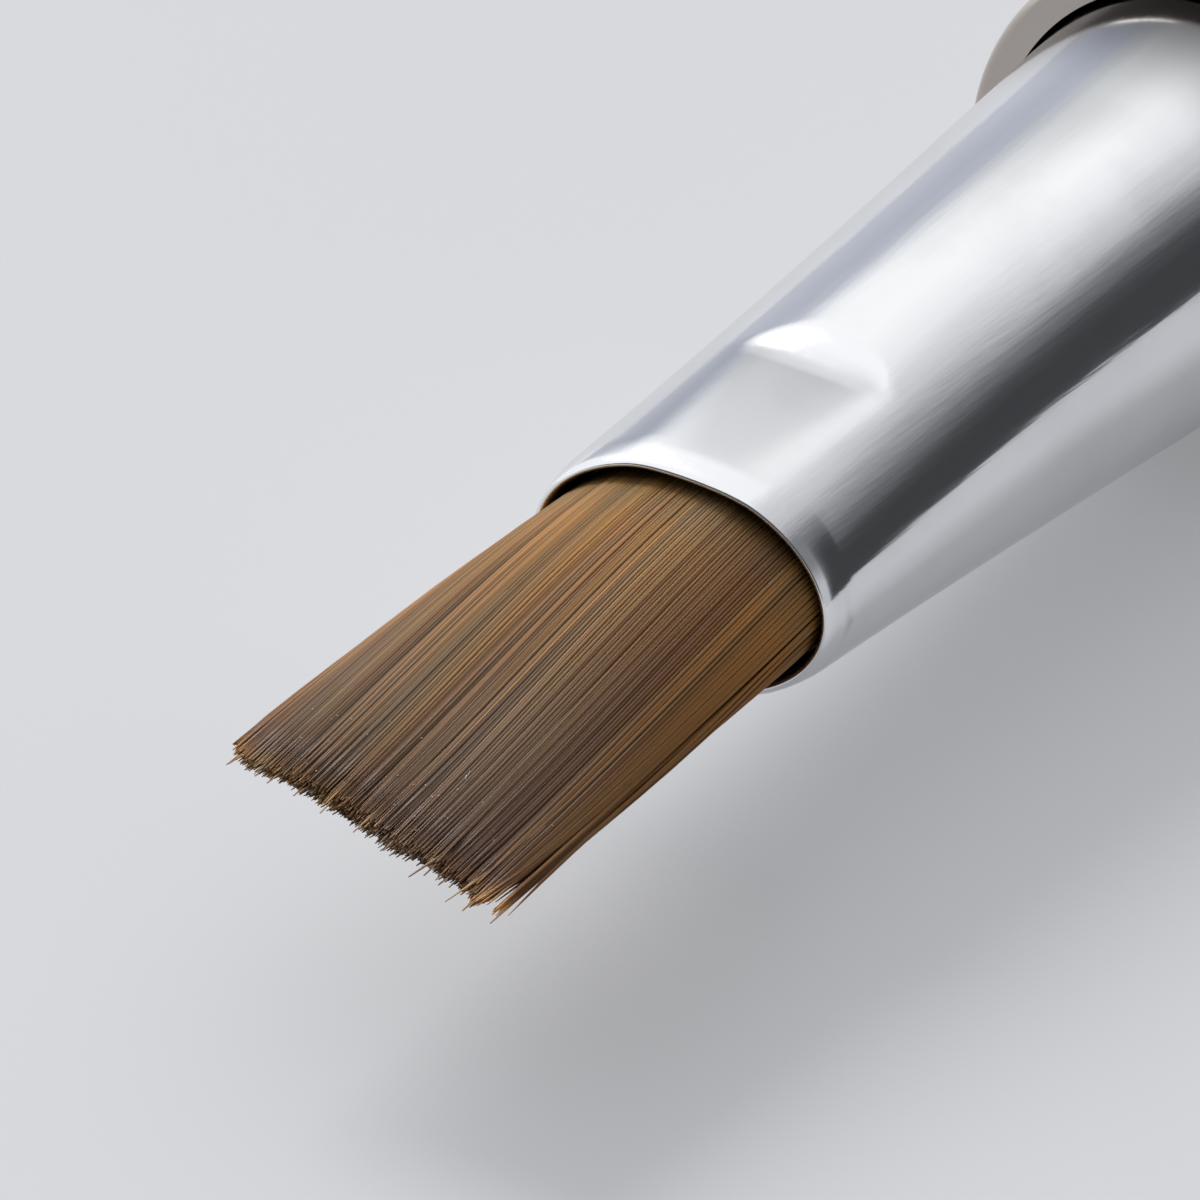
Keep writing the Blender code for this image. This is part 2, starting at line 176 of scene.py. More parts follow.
def colour_mix(tree, share, first, second, mode="MIX"):
    """Mix of two colours by a share; inputs 6 and 7 of a Mix node are its colours."""
    node = add_node(tree, "ShaderNodeMix", data_type="RGBA", blend_type=mode)
    for place, value in ((0, share), (6, first), (7, second)):
        if isinstance(value, bpy.types.NodeSocket):
            tree.links.new(value, node.inputs[place])
        elif isinstance(value, tuple):
            node.inputs[place].default_value = (*value, 1.0)
        else:
            node.inputs[place].default_value = value
    return node.outputs[2]


def colour_steps(tree, share, steps):
    """Colour ramp with (place, colour) steps."""
    node = add_node(tree, "ShaderNodeValToRGB", {"Fac": share})
    marks = node.color_ramp.elements
    while len(marks) < len(steps):
        marks.new(0.5)
    for mark, (place, colour) in zip(marks, steps):
        mark.position = place
        mark.color = (*colour, 1.0)
    return node.outputs["Color"]


def toward(tree, ray, azimuth, elevation):
    """Cosine between a ray and a direction given in degrees."""
    aim = direction(math.radians(azimuth), math.radians(elevation))
    node = add_node(tree, "ShaderNodeVectorMath", {0: ray, 1: tuple(aim)}, operation="DOT_PRODUCT")
    return node.outputs["Value"]


def banded_room(tree, x, turn):
    """Light of the room in bands that lie along the brush."""
    turned = calculate(tree, "ADD", turn, smooth_range(tree, x, *BAND_SHIFT_X, 0.0, BAND_SHIFT))
    first, last = ROOM_LEVELS[0][0], ROOM_LEVELS[-1][0]
    feeds = {"Value": turned, "From Min": float(first), "From Max": float(last)}
    place = add_node(tree, "ShaderNodeMapRange", feeds).outputs["Result"]
    levels = [((angle - first) / (last - first), colour) for angle, colour in ROOM_LEVELS]
    return colour_steps(tree, place, levels)


def dim_far_left(tree, x, y, turn, colour):
    """Dimmer room far behind on the left, along a slightly slanting edge."""
    sideways = calculate(tree, "MAXIMUM", calculate(tree, "SUBTRACT", y, FAR_SLANT_Y), 0.0)
    nearness = calculate(tree, "MULTIPLY_ADD", sideways, FAR_SLANT, x)
    far = smooth_range(tree, nearness, *FAR_X, 1.0, 0.0)
    far = calculate(tree, "MULTIPLY", far, smooth_range(tree, turn, *FAR_TURN))
    return colour_mix(tree, far, colour, FAR_DIMMING, "MULTIPLY")


def add_front_panels(tree, x, turn, colour):
    """White panel on the left, grey ones on the right, and the dark side behind the camera."""
    left = calculate(tree, "MULTIPLY", smooth_range(tree, x, *LEFT_PANEL_X),
                     smooth_range(tree, turn, *LEFT_PANEL_TURN, LEFT_PANEL_LOW_SHARE, 1.0))
    left = calculate(tree, "MULTIPLY", left, calculate(tree, "LESS_THAN", turn, 0.0))
    colour = colour_mix(tree, left, colour, LEFT_PANEL)
    right = calculate(tree, "MULTIPLY", smooth_range(tree, x, *RIGHT_PANEL_X),
                      smooth_range(tree, turn, *RIGHT_PANEL_TURN))
    low = smooth_range(tree, turn, *RIGHT_LOW_TURN)
    colour = colour_mix(tree, right, colour, colour_mix(tree, low, RIGHT_PANEL, RIGHT_LOW_PANEL))
    return colour_mix(tree, smooth_range(tree, x, *CAMERA_SIDE_X), colour, CAMERA_SIDE)


def light_studio():
    """World light by direction: a wide window behind, a strong soft key in it, a dim front."""
    world = bpy.data.worlds.new("studio")
    world.use_nodes = True
    bpy.context.scene.world = world
    tree = world.node_tree
    tree.nodes.clear()
    ray = add_node(tree, "ShaderNodeTexCoord").outputs["Generated"]
    x, y, z = add_node(tree, "ShaderNodeSeparateXYZ", {0: ray}).outputs
    turn = calculate(tree, "DEGREES", calculate(tree, "ARCTAN2", y, z))
    colour = dim_far_left(tree, x, y, turn, banded_room(tree, x, turn))
    colour = add_front_panels(tree, x, turn, colour)
    edge, core = (math.cos(math.radians(angle)) for angle in (KEY_EDGE, KEY_CORE))
    key = smooth_range(tree, toward(tree, ray, KEY_AZIMUTH, KEY_ELEVATION), edge, core,
                       0.0, KEY_STRENGTH)
    colour = colour_mix(tree, 1.0, colour, key, "ADD")
    path = add_node(tree, "ShaderNodeLightPath")
    colour = colour_mix(tree, path.outputs["Is Camera Ray"], colour, BACKDROP)
    back = add_node(tree, "ShaderNodeBackground", {"Color": colour, "Strength": ROOM_STRENGTH})
    add_node(tree, "ShaderNodeOutputWorld", {"Surface": back.outputs[0]})


def lay_paper():
    """Round sheet of smooth pale paper under the brush."""
    mesh = bmesh.new()
    bmesh.ops.create_circle(mesh, cap_ends=True, segments=96, radius=PAPER_REACH)
    data = bpy.data.meshes.new("paper")
    mesh.to_mesh(data)
    mesh.free()
    paper = bpy.data.objects.new("paper", data)
    bpy.context.scene.collection.objects.link(paper)
    material = bpy.data.materials.new("pale_paper")
    material.use_nodes = True
    tree = material.node_tree
    place = add_node(tree, "ShaderNodeTexCoord").outputs["Object"]
    cloud = add_node(tree, "ShaderNodeTexNoise", {"Vector": place, "Scale": 12.0, "Detail": 2.0})
    shader = tree.nodes["Principled BSDF"]
    clouded = tuple(PAPER_CLOUD * channel for channel in PAPER_COLOUR)
    tint = colour_mix(tree, cloud.outputs["Fac"], PAPER_COLOUR, clouded)
    tree.links.new(tint, shader.inputs["Base Color"])
    path = add_node(tree, "ShaderNodeLightPath").outputs
    mirrored = calculate(tree, "MULTIPLY", path["Is Glossy Ray"], PAPER_MIRRORED)
    seen = calculate(tree, "MAXIMUM", path["Is Camera Ray"], mirrored)
    glow = colour_mix(tree, seen, (0.0, 0.0, 0.0), PAPER_GLOW)
    tree.links.new(glow, shader.inputs["Emission Color"])
    shader.inputs["Emission Strength"].default_value = 1.0
    shader.inputs["Roughness"].default_value = 0.5
    shader.inputs["Specular IOR Level"].default_value = 0.25
    data.materials.append(material)


bpy.context.scene.view_settings.view_transform = "Standard"
add_camera()
light_studio()
lay_paper()

# Ferrule
# One drawn aluminium tube that holds hair and handle together. It turns gradually oval over
# its front half, is pressed flat above and below from a soft crease on, and its lip is turned in.
REAR_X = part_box("ferrule")[0][0] - MOUTH_X
JUNCTION_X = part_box("handle_sleeve")[1][0] - MOUTH_X
OVAL_LENGTH = 0.0150
CREASE_X = -0.00445
CREASE_BACK_X = -0.00565
WALL = 0.00030
REAR_RADIUS = 0.00408
MOUTH_HALF_WIDTH = 0.00313
MOUTH_HALF_HEIGHT = 0.00223
UNPRESSED_SHARE = 1.05
CREASE_FLAT_SHARE = 0.915
MOUTH_FLAT_SHARE = 0.985
FLAT_EDGE_ROUNDING = 0.00020
LIP_TURN_IN = 0.00004
LIP_LENGTH = 0.00090
NOSE_LENGTH = 0.00040
NOSE_FROM = math.radians(64)
FERRULE_COLUMNS = 192
NOSE_RINGS = 12
LIP_RINGS = 20
# Where the pressed face is duller and darkened by painted shade, and the stripe along its left
# side, duller and darkened by painted shade too
PRESSED_DEPTH = 0.00010
PRESSED_SHARE = 0.75
DULL_SHADED_FRONT_X = -0.00045
DULL_SHADED_FRONT_FADE = 0.00030
DULL_SHADED_BACK_X = CREASE_X - 0.00055
DULL_SHADED_BACK_FADE = 0.00065
DULL_SHADED_EDGE_Y = -0.00150
DULL_SHADED_EDGE_WIDTH = 0.00050
DULL_SHADED_EDGE_SHARE = 0.60
ALUMINIUM = (0.875, 0.885, 0.905)
ALUMINIUM_SMUDGED = 0.96
ALUMINIUM_SPECK = (0.55, 0.55, 0.56)
ALUMINIUM_DULLNESS = 0.070
# Painted shade: colour that darkens the pressed face and the stripe at its left
PRESSED_PAINTED_SHADE = (0.653, 0.66, 0.672)
# Painted shade on the ferrule next to the sleeve: full over the first length from the sleeve,
# fading out by the second
JUNCTION_PAINTED_SHADE = (0.20, 0.197, 0.195)
JUNCTION_SHADE_DARK_LENGTH = 0.0005
JUNCTION_SHADE_FADE_LENGTH = 0.0046


def blend(low, high, share):
    """Value at a share of the way between two others."""
    return low + (high - low) * share


def eased(share):
    """Smooth rise from 0 to 1, which starts and ends level."""
    share = min(max(share, 0.0), 1.0)
    return share * share * (3 - 2 * share)


def pressed_height(height, limit, rounding):
    """Height of the wall where its top is pressed flat at a limit, with a rounded edge."""
    overlap = max(rounding - abs(height - limit), 0) / rounding
    return min(height, limit) - overlap * overlap * rounding / 4


def ferrule_half_sizes(x):
    """Half width and half height: round at the back, turning gradually oval to the mouth."""
    mouth_radius = math.sqrt(MOUTH_HALF_WIDTH * MOUTH_HALF_HEIGHT)
    along = min(max((x - JUNCTION_X) / -JUNCTION_X, 0), 1)
    radius = blend(REAR_RADIUS, mouth_radius, along)
    turned_oval = min(max((x + OVAL_LENGTH) / OVAL_LENGTH, 0), 1) ** 2
    stretch = (MOUTH_HALF_WIDTH / MOUTH_HALF_HEIGHT) ** (turned_oval / 2)
    return radius * stretch, radius / stretch


def ferrule_section(x, offset, columns=FERRULE_COLUMNS):
    """Closed ring of points on the ferrule's wall, offset square to the section."""
    half_width, half_height = ferrule_half_sizes(x)
    if x <= CREASE_BACK_X:
        flat_share = UNPRESSED_SHARE
    elif x <= CREASE_X:
        rise = eased((x - CREASE_BACK_X) / (CREASE_X - CREASE_BACK_X))
        flat_share = blend(UNPRESSED_SHARE, CREASE_FLAT_SHARE, rise)
    else:
        flat_share = blend(CREASE_FLAT_SHARE, MOUTH_FLAT_SHARE, min(1 - x / CREASE_X, 1))
    points = []
    for column in range(columns):
        angle = 2 * math.pi * (column + 0.5) / columns
        rise = half_height * abs(math.sin(angle))
        rise = pressed_height(rise, half_height * flat_share, FLAT_EDGE_ROUNDING)
        points.append(Vector((half_width * math.cos(angle), math.copysign(rise, math.sin(angle)))))
    ring = []
    for column, point in enumerate(points):
        along = points[(column + 1) % columns] - points[column - 1]
        out = Vector((along.y, -along.x)).normalized()
        moved = point + out * offset
        ring.append(Vector((MOUTH_X + x, moved.x, AXIS_Z + moved.y)))
    return ring


def round_ring(x, radius, columns):
    """Closed ring of points round the brush's axis."""
    turns = [2 * math.pi * (column + 0.5) / columns for column in range(columns)]
    return [Vector((MOUTH_X + x, radius * math.cos(turn), AXIS_Z + radius * math.sin(turn)))
            for turn in turns]


def skin(name, rings, closed=False, capped=False):
    """Skin a row of rings of points into a smooth-shaded mesh object."""
    mesh = bmesh.new()
    loops = [[mesh.verts.new(point) for point in ring] for ring in rings]
    pairs = list(zip(loops, loops[1:]))
    if closed:
        pairs.append((loops[-1], loops[0]))
    for first, second in pairs:
        for column in range(len(first)):
            after = (column + 1) % len(first)
            mesh.faces.new((first[column], second[column], second[after], first[after]))
    if capped:
        mesh.faces.new(loops[0])
        mesh.faces.new(loops[-1])
    bmesh.ops.recalc_face_normals(mesh, faces=mesh.faces)
    data = bpy.data.meshes.new(name)
    mesh.to_mesh(data)
    mesh.free()
    data.shade_smooth()
    piece = bpy.data.objects.new(name, data)
    bpy.context.scene.collection.objects.link(piece)
    return piece


def drawn_lines_group():
    """Fine lines left by drawing, turning or sawing: stretched noise along one direction."""
    group = bpy.data.node_groups.new("drawn_lines", "ShaderNodeTree")
    face = group.interface
    face.new_socket("Spacing", in_out="INPUT", socket_type="NodeSocketVector")
    face.new_socket("Detail", in_out="INPUT", socket_type="NodeSocketFloat")
    face.new_socket("Lines", in_out="OUTPUT", socket_type="NodeSocketFloat")
    start = group.nodes.new("NodeGroupInput")
    place = add_node(group, "ShaderNodeTexCoord").outputs["Object"]
    scaled = add_node(group, "ShaderNodeVectorMath", {0: place, 1: start.outputs["Spacing"]},
                      operation="MULTIPLY")
    noise = add_node(group, "ShaderNodeTexNoise",
                     {"Vector": scaled.outputs[0], "Scale": 1.0, "Detail": start.outputs["Detail"]})
    add_node(group, "NodeGroupOutput", {0: noise.outputs["Fac"]})
    return group


def handling_group():
    """Marks of handling: soft smudges and sparse tiny specks."""
    group = bpy.data.node_groups.new("handling_marks", "ShaderNodeTree")
    face = group.interface
    face.new_socket("Smudge Scale", in_out="INPUT", socket_type="NodeSocketFloat")
    face.new_socket("Speck Scale", in_out="INPUT", socket_type="NodeSocketFloat")
    face.new_socket("Smudges", in_out="OUTPUT", socket_type="NodeSocketFloat")
    face.new_socket("Specks", in_out="OUTPUT", socket_type="NodeSocketFloat")
    start = group.nodes.new("NodeGroupInput")
    place = add_node(group, "ShaderNodeTexCoord").outputs["Object"]
    cloud = add_node(group, "ShaderNodeTexNoise",
                     {"Vector": place, "Scale": start.outputs["Smudge Scale"], "Detail": 4.0})
    smudges = smooth_range(group, cloud.outputs["Fac"], 0.42, 0.68)
    cells = add_node(group, "ShaderNodeTexVoronoi",
                     {"Vector": place, "Scale": start.outputs["Speck Scale"]})
    near = smooth_range(group, cells.outputs["Distance"], 0.05, 0.10, 1.0, 0.0)
    pick = add_node(group, "ShaderNodeSeparateColor", {0: cells.outputs["Color"]}).outputs[0]
    specks = calculate(group, "MULTIPLY", near, calculate(group, "GREATER_THAN", pick, 0.90))
    add_node(group, "NodeGroupOutput", {0: smudges, 1: specks})
    return group


drawn_lines = drawn_lines_group()
handling_marks = handling_group()


def place_lines(tree, spacing, detail):
    """Drawn lines placed in a material with their own spacing and detail."""
    node = add_node(tree, "ShaderNodeGroup", node_tree=drawn_lines)
    node.inputs["Spacing"].default_value = spacing
    node.inputs["Detail"].default_value = detail
    return node.outputs["Lines"]


def place_marks(tree, smudge_scale, speck_scale):
    """Handling marks placed in a material with their own scales."""
    node = add_node(tree, "ShaderNodeGroup", node_tree=handling_marks)
    node.inputs["Smudge Scale"].default_value = smudge_scale
    node.inputs["Speck Scale"].default_value = speck_scale
    return node.outputs["Smudges"], node.outputs["Specks"]


def start_material(name, **constants):
    """Material whose shader holds the given constant values."""
    material = bpy.data.materials.new(name)
    material.use_nodes = True
    shader = material.node_tree.nodes["Principled BSDF"]
    for socket, value in constants.items():
        shader.inputs[socket.replace("_", " ")].default_value = value
    return material, material.node_tree, shader


def feed_bump(tree, shader, height, strength, distance, normal=None):
    """Bump on the shader from a height, over the surface's own normal or a given one."""
    feeds = {"Height": height, "Strength": strength, "Distance": distance}
    if normal is not None:
        feeds["Normal"] = normal
    bump = add_node(tree, "ShaderNodeBump", feeds)
    tree.links.new(bump.outputs["Normal"], shader.inputs["Normal"])


def dulled(tree, dullness, *marks):
    """Roughness of a finish: its own dullness and what each (mask, share) pair adds."""
    for mask, share in marks:
        dullness = calculate(tree, "MULTIPLY_ADD", mask, share, dullness)
    return dullness


def along_axis(tree, low, high):
    """Share of the way along the brush between two places measured from the mouth."""
    place = add_node(tree, "ShaderNodeTexCoord").outputs["Object"]
    x = add_node(tree, "ShaderNodeSeparateXYZ", {0: place}).outputs["X"]
    feeds = {"Value": x, "From Min": MOUTH_X + low, "From Max": MOUTH_X + high}
    return add_node(tree, "ShaderNodeMapRange", feeds).outputs["Result"]


def aluminium_material():
    """Polished drawn aluminium: faint lines along the tube, smudges, a duller pressed face darkened
    by painted shade, and painted shade next to the sleeve.
    """
    material, tree, shader = start_material("ferrule_aluminium", Metallic=1.0)
    lines = place_lines(tree, (60.0, 9000.0, 9000.0), 2.0)
    smudges, specks = place_marks(tree, 420.0, 900.0)
    pressed = add_node(tree, "ShaderNodeAttribute", attribute_name="pressed").outputs["Fac"]
    dullness = dulled(tree, ALUMINIUM_DULLNESS, (lines, 0.05), (smudges, 0.03), (pressed, 0.05),
                      (specks, 0.25))
    tree.links.new(dullness, shader.inputs["Roughness"])
    smudged = tuple(ALUMINIUM_SMUDGED * channel for channel in ALUMINIUM)
    tint = colour_mix(tree, smudges, ALUMINIUM, smudged)
    tint = colour_mix(tree, calculate(tree, "MULTIPLY", specks, 0.5), tint, ALUMINIUM_SPECK)
    # Painted shade: the pressed face and the stripe at its left are darkened in colour
    tint = colour_mix(tree, pressed, tint, PRESSED_PAINTED_SHADE, "MULTIPLY")
    # Painted shade: the ferrule's colour darkens towards the sleeve
    ahead = along_axis(tree, JUNCTION_X + JUNCTION_SHADE_DARK_LENGTH, JUNCTION_X + JUNCTION_SHADE_FADE_LENGTH)
    corner = smooth_range(tree, ahead, 0.0, 1.0, 1.0, 0.0)
    tint = colour_mix(tree, corner, tint, JUNCTION_PAINTED_SHADE, "MULTIPLY")
    tree.links.new(tint, shader.inputs["Base Color"])
    feed_bump(tree, shader, lines, 0.10, 0.00002)
    return material


def mark_pressed_face(piece):
    """Mark how dull each place of the wall is and how far painted shade darkens it: faces pressed
    flat, and a stripe at their left.
    """
    shares = []
    for vertex in piece.data.vertices:
        x = vertex.co.x - MOUTH_X
        half_width, half_height = ferrule_half_sizes(x)
        level = math.sqrt(max(1 - (vertex.co.y / half_width) ** 2, 0))
        depth = half_height * level - abs(vertex.co.z - AXIS_Z)
        ahead = eased((x - DULL_SHADED_BACK_X) / DULL_SHADED_BACK_FADE)
        ahead *= eased((DULL_SHADED_FRONT_X - x) / DULL_SHADED_FRONT_FADE)
        pressed = PRESSED_SHARE * eased(depth / PRESSED_DEPTH)
        # The stripe at the pressed face's left is duller and darkened by painted shade
        beside = (vertex.co.y - DULL_SHADED_EDGE_Y) / DULL_SHADED_EDGE_WIDTH
        edge = DULL_SHADED_EDGE_SHARE * math.exp(-beside * beside) * (vertex.co.z > AXIS_Z)
        shares.append(min(pressed + edge, 1.0) * ahead)
    layer = piece.data.attributes.new("pressed", "FLOAT", "POINT")
    layer.data.foreach_set("value", shares)


def build_ferrule():
    """The tube's wall, from its rear along the outside, round the lip and back inside."""
    stretches = ((REAR_X, JUNCTION_X, 2), (JUNCTION_X, -OVAL_LENGTH, 4),
                 (-OVAL_LENGTH, CREASE_BACK_X, 24), (CREASE_BACK_X, CREASE_X, 8),
                 (CREASE_X, -LIP_LENGTH, 12))
    stations = [blend(start, end, step / count) for start, end, count in stretches
                for step in range(count)]
    rings = [ferrule_section(x, 0) for x in stations]
    lip_radius = (WALL - LIP_TURN_IN) / 2
    nose_x = NOSE_LENGTH * (math.cos(NOSE_FROM) - 1)
    nose_in = -LIP_TURN_IN - lip_radius + lip_radius * math.sin(NOSE_FROM)
    for step in range(NOSE_RINGS):
        along = step / NOSE_RINGS
        rings.append(ferrule_section(blend(-LIP_LENGTH, nose_x, along), nose_in * along ** 2))
    for step in range(LIP_RINGS + 1):
        turn = NOSE_FROM - (math.pi / 2 + NOSE_FROM) * step / LIP_RINGS
        offset = lip_radius * math.sin(turn) - LIP_TURN_IN - lip_radius
        rings.append(ferrule_section(NOSE_LENGTH * (math.cos(turn) - 1), offset))
    rings += [ferrule_section(x, -WALL) for x in reversed(stations)]
    return skin("ferrule_tube", rings, closed=True)


ferrule = build_ferrule()
mark_pressed_face(ferrule)
ferrule.data.materials.append(aluminium_material())
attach(ferrule, "root")
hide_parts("ferrule")

# Hair tuft
# A few thousand fine tapered hairs, laid flat, tied into a knot at the root and cut square.
# They gather in fine locks towards the tips, and a few stray past the cut.
ROOT_FRONT_X = -0.0012
ROOT_OVERLAP = 0.00015
# Place along the hair, half width and half height of the tuft there
TUFT_SIZES = (
    (-0.00120, 0.00270, 0.00174),
    (0.00000, 0.00276, 0.00172),
    (0.00240, 0.00282, 0.00152),
    (0.00480, 0.00286, 0.00122),
    (0.00800, 0.00283, 0.00062),
    (0.01080, 0.00276, 0.00014),
    (0.01140, 0.00274, 0.00010),
)
WIDTH_DEGREE = 3
HEIGHT_DEGREE = 4
TUFT_TWIST = math.radians(10.4)
TUFT_DROOP = 0.00015
# Laying of the hairs: ordered layers from the outside in, then loose filling
HAIR_SEED = 41
LAYING_X = 0.0080
LAYING_STEPS = 2000
HAIR_PITCH = 0.000056
SURFACE_LAYERS = 4
LAYER_DEPTH = 0.000022
LAYER_UNEVEN = 0.000004
LAYER_SHUFFLE = 0.10
DEEPER_SHUFFLE = 0.12
FILLER_COUNT = 1500
FILLER_REACH = 0.96
LEAST_HALF_HEIGHT = 0.00006
# Shape of one hair: its rings and sides, and half thicknesses along it
HAIR_STATIONS = 11
STATION_SPREAD = 0.9
HAIR_SIDES = 4
HAIR_HALF_THICKNESS = 0.0000355
HAIR_THICKNESS_SPREAD = (0.82, 1.18)
TIP_HALF_THICKNESS = 0.000011
TIP_TAPER = 0.09
# Locks: their edges as shares of the half width, how far they draw in, lift and swing
LOCK_EDGES = (-1.0, -0.90, -0.73, -0.60, -0.43, -0.30, -0.13, 0.02, 0.16, 0.33, 0.45, 0.62,
              0.74, 0.86, 0.945, 1.0)
UNDERSIDE_SHIFT = 0.06
LOCK_GATHER = (0.02, 0.15)
LOCK_LIFT = 0.000020
LOCK_SWING = 0.000012
LOCK_BEND = 3.0
# Tones from the tuft's left edge to its right, cool and dark 0 to golden 1, and their shares
BROAD_TONES = (0.95, 0.70, 0.40, 0.95, 0.25, 0.40, 0.05, 0.45, 0.60, 0.30, 0.95, 0.45, 0.15,
               0.50, 0.65, 0.35, 0.85, 0.50, 0.20, 0.95, 0.60, 0.85)
BROAD_TONE_SHARE = 0.50
STREAK_COUNT = 72
STREAK_REACH = 1.05
STREAK_TONE_SHARE = 0.45
LOCK_TONE_SHARE = 0.05
# The cut: its place, slant and raggedness, and the longer corner on the left
HAIR_CUT_X = 0.01060
CUT_SLANT = 0.00012
CUT_RAGGED = 0.000065
LOCK_RAGGED = 0.000035
CORNER_PLACES = (-1, -0.95, -0.85, -0.72, -0.40)
CORNER_REACH = (0.00008, 0.00022, 0.00034, 0.00022, 0)
TIP_CURL = 0.000010
CURL_BEND = 8
STRAY_SHARE = 0.012
STRAY_REACH = (0.00006, 0.00040)
STRAY_CURL = 5
LONGEST_STRAY_X = 0.01138
# Place across, reach and sideways bend of the longest strays
STRAYS = (
    (0.58, 0.01138, -0.00014),
    (0.60, 0.01112, 0.00006),
    (0.83, 0.01138, -0.00012),
    (0.86, 0.01126, 0.00002),
    (-0.30, 0.01094, 0.00005),
    (-0.62, 0.01108, -0.00006),
    (-0.86, 0.01116, -0.00008),
)
# The lock at the right edge, the hairs that part from it, and the loose ones outside them
RIGHT_LOCK_FROM = 0.86
RIGHT_LOCK_MIDDLE = 0.88
RIGHT_LOCK_GATHER = (0.45, 0.80)
RIGHT_LOCK_REACH = (0.0, 0.00030)
RIGHT_LOCK_BEND = 8.0
OUTER_LOCK_FROM = 0.985
OUTER_LOCK_GATHER = 0.60
OUTER_LOCK_REACH = (-0.00020, 0.00025)
OUTER_SWING = (0.00007, 0.00006)
LOOSE_FROM = 0.9955
LOOSE_DEPTH = 0.000012
LOOSE_BULGE = (0.00006, 0.00013)
# How single hairs leave their lay
HAIR_WANDER = 0.0045
CROSSING_SHARE = 0.08
CROSSING_WANDER = 5
WAVE_HEIGHT = 0.003
WAVE_LENGTH = 4.0
SINK_EASING = 0.35
SWING_FROM = 0.35
SWING_SPAN = 0.42
# Shading: the share of the tuft's own roundness, and the ends that look up along the brush
TUFT_ROUNDNESS = 0.5
END_OUT = (0.45, 0.0, 0.89)
END_FROM = 0.90
END_LENGTH = 0.08
HAIR_COLOUR_REACH = 0.0114
FLECK_COLOUR = (0.08, 0.045, 0.025)


def tuft_frame(x):
    """Half width, half height, twist and droop of the tuft at places along it."""
    places, widths, heights = (np.array(column) for column in zip(*TUFT_SIZES))
    reach = np.clip(x / HAIR_CUT_X, 0, None)
    width = np.polyval(np.polyfit(places * 1000, widths, WIDTH_DEGREE), x * 1000)
    height = np.polyval(np.polyfit(places * 1000, heights, HEIGHT_DEGREE), x * 1000)
    return width, height, TUFT_TWIST * reach, -TUFT_DROOP * reach ** 2


def set_in_tuft(y, z, twist, droop):
    """Places across and above the tuft's middle, turned by its twist and lowered by its droop."""
    return y * np.cos(twist) + z * np.sin(twist), -y * np.sin(twist) + z * np.cos(twist) + droop


def lay_hairs(draw):
    """Places of the hairs over the tuft's section: ordered outer layers, then loose filling."""
    turns = np.linspace(0, 2 * np.pi, LAYING_STEPS + 1)
    places, widths, heights = (np.array(column) for column in zip(*TUFT_SIZES))
    half_width = np.interp(LAYING_X, places, widths)
    half_height = np.interp(LAYING_X, places, heights)
    steps = np.hypot(np.diff(half_width * np.cos(turns)), np.diff(half_height * np.sin(turns)))
    length = np.concatenate(((0,), np.cumsum(steps)))
    count = int(length[-1] / HAIR_PITCH)
    turn, depth = [], []
    for layer in range(SURFACE_LAYERS):
        shift = draw.random() + draw.normal(0, LAYER_SHUFFLE + DEEPER_SHUFFLE * layer, count)
        spot = (np.arange(count) + shift) / count * length[-1] % length[-1]
        turn.append(np.interp(spot, length, turns))
        depth.append(LAYER_DEPTH * layer + draw.normal(0, LAYER_UNEVEN, count))
    turn = np.concatenate(turn)
    reach = np.sqrt(draw.random(FILLER_COUNT)) * FILLER_REACH
    filler_turn = draw.random(FILLER_COUNT) * 2 * np.pi
    filler_depth = np.full(FILLER_COUNT, LAYER_DEPTH * SURFACE_LAYERS)
    return SimpleNamespace(
        across=np.concatenate((np.cos(turn), reach * np.cos(filler_turn))),
        deep=np.concatenate((np.sin(turn), reach * np.sin(filler_turn))),
        depth=np.concatenate((np.abs(np.concatenate(depth)), filler_depth)))


def gather_locks(hairs, draw):
    """Lock that each hair belongs to, and how far that lock draws it in, lifts and swings it."""
    shift = np.where(hairs.deep > 0, 0.0, UNDERSIDE_SHIFT)
    edges = np.array(LOCK_EDGES)
    lock = np.searchsorted(edges[1:-1], hairs.across + shift)
    hairs.lock = lock
    hairs.middle = ((edges[:-1] + edges[1:]) / 2)[lock] - shift
    hairs.gather = draw.uniform(*LOCK_GATHER, len(edges))[lock]
    hairs.lift = draw.normal(0, LOCK_LIFT, len(edges))[lock]
    hairs.swing = draw.normal(0, LOCK_SWING, len(edges))[lock]


def tone_hairs(hairs, draw):
    """Each hair's own tone, and the tone that it shares with its streak and lock."""
    places = np.sort(draw.uniform(-STREAK_REACH, STREAK_REACH, STREAK_COUNT))
    streak = np.interp(hairs.across, places, draw.random(STREAK_COUNT))
    broad = np.interp(hairs.across, np.linspace(-1, 1, len(BROAD_TONES)), BROAD_TONES)
    own = draw.random(len(LOCK_EDGES))[hairs.lock]
    mixed = BROAD_TONE_SHARE * broad + STREAK_TONE_SHARE * streak + LOCK_TONE_SHARE * own
    hairs.lock_tone = np.clip(mixed, 0, 1)
    hairs.tone = draw.random(len(hairs.across))


def cut_hairs(hairs, draw):
    """Where each hair ends along the brush, and how its tip curls."""
    count = len(hairs.across)
    cut = HAIR_CUT_X + CUT_SLANT * hairs.across + draw.normal(0, 1, count) * CUT_RAGGED
    cut += draw.normal(0, LOCK_RAGGED, len(LOCK_EDGES))[hairs.lock]
    curl = draw.normal(0, TIP_CURL, (count, 2))
    stray = draw.random(count) < STRAY_SHARE
    cut[stray] += draw.uniform(*STRAY_REACH, stray.sum())
    curl[stray] *= STRAY_CURL
    cut += np.interp(hairs.across, CORNER_PLACES, CORNER_REACH)
    hairs.cut = cut
    hairs.curl = curl


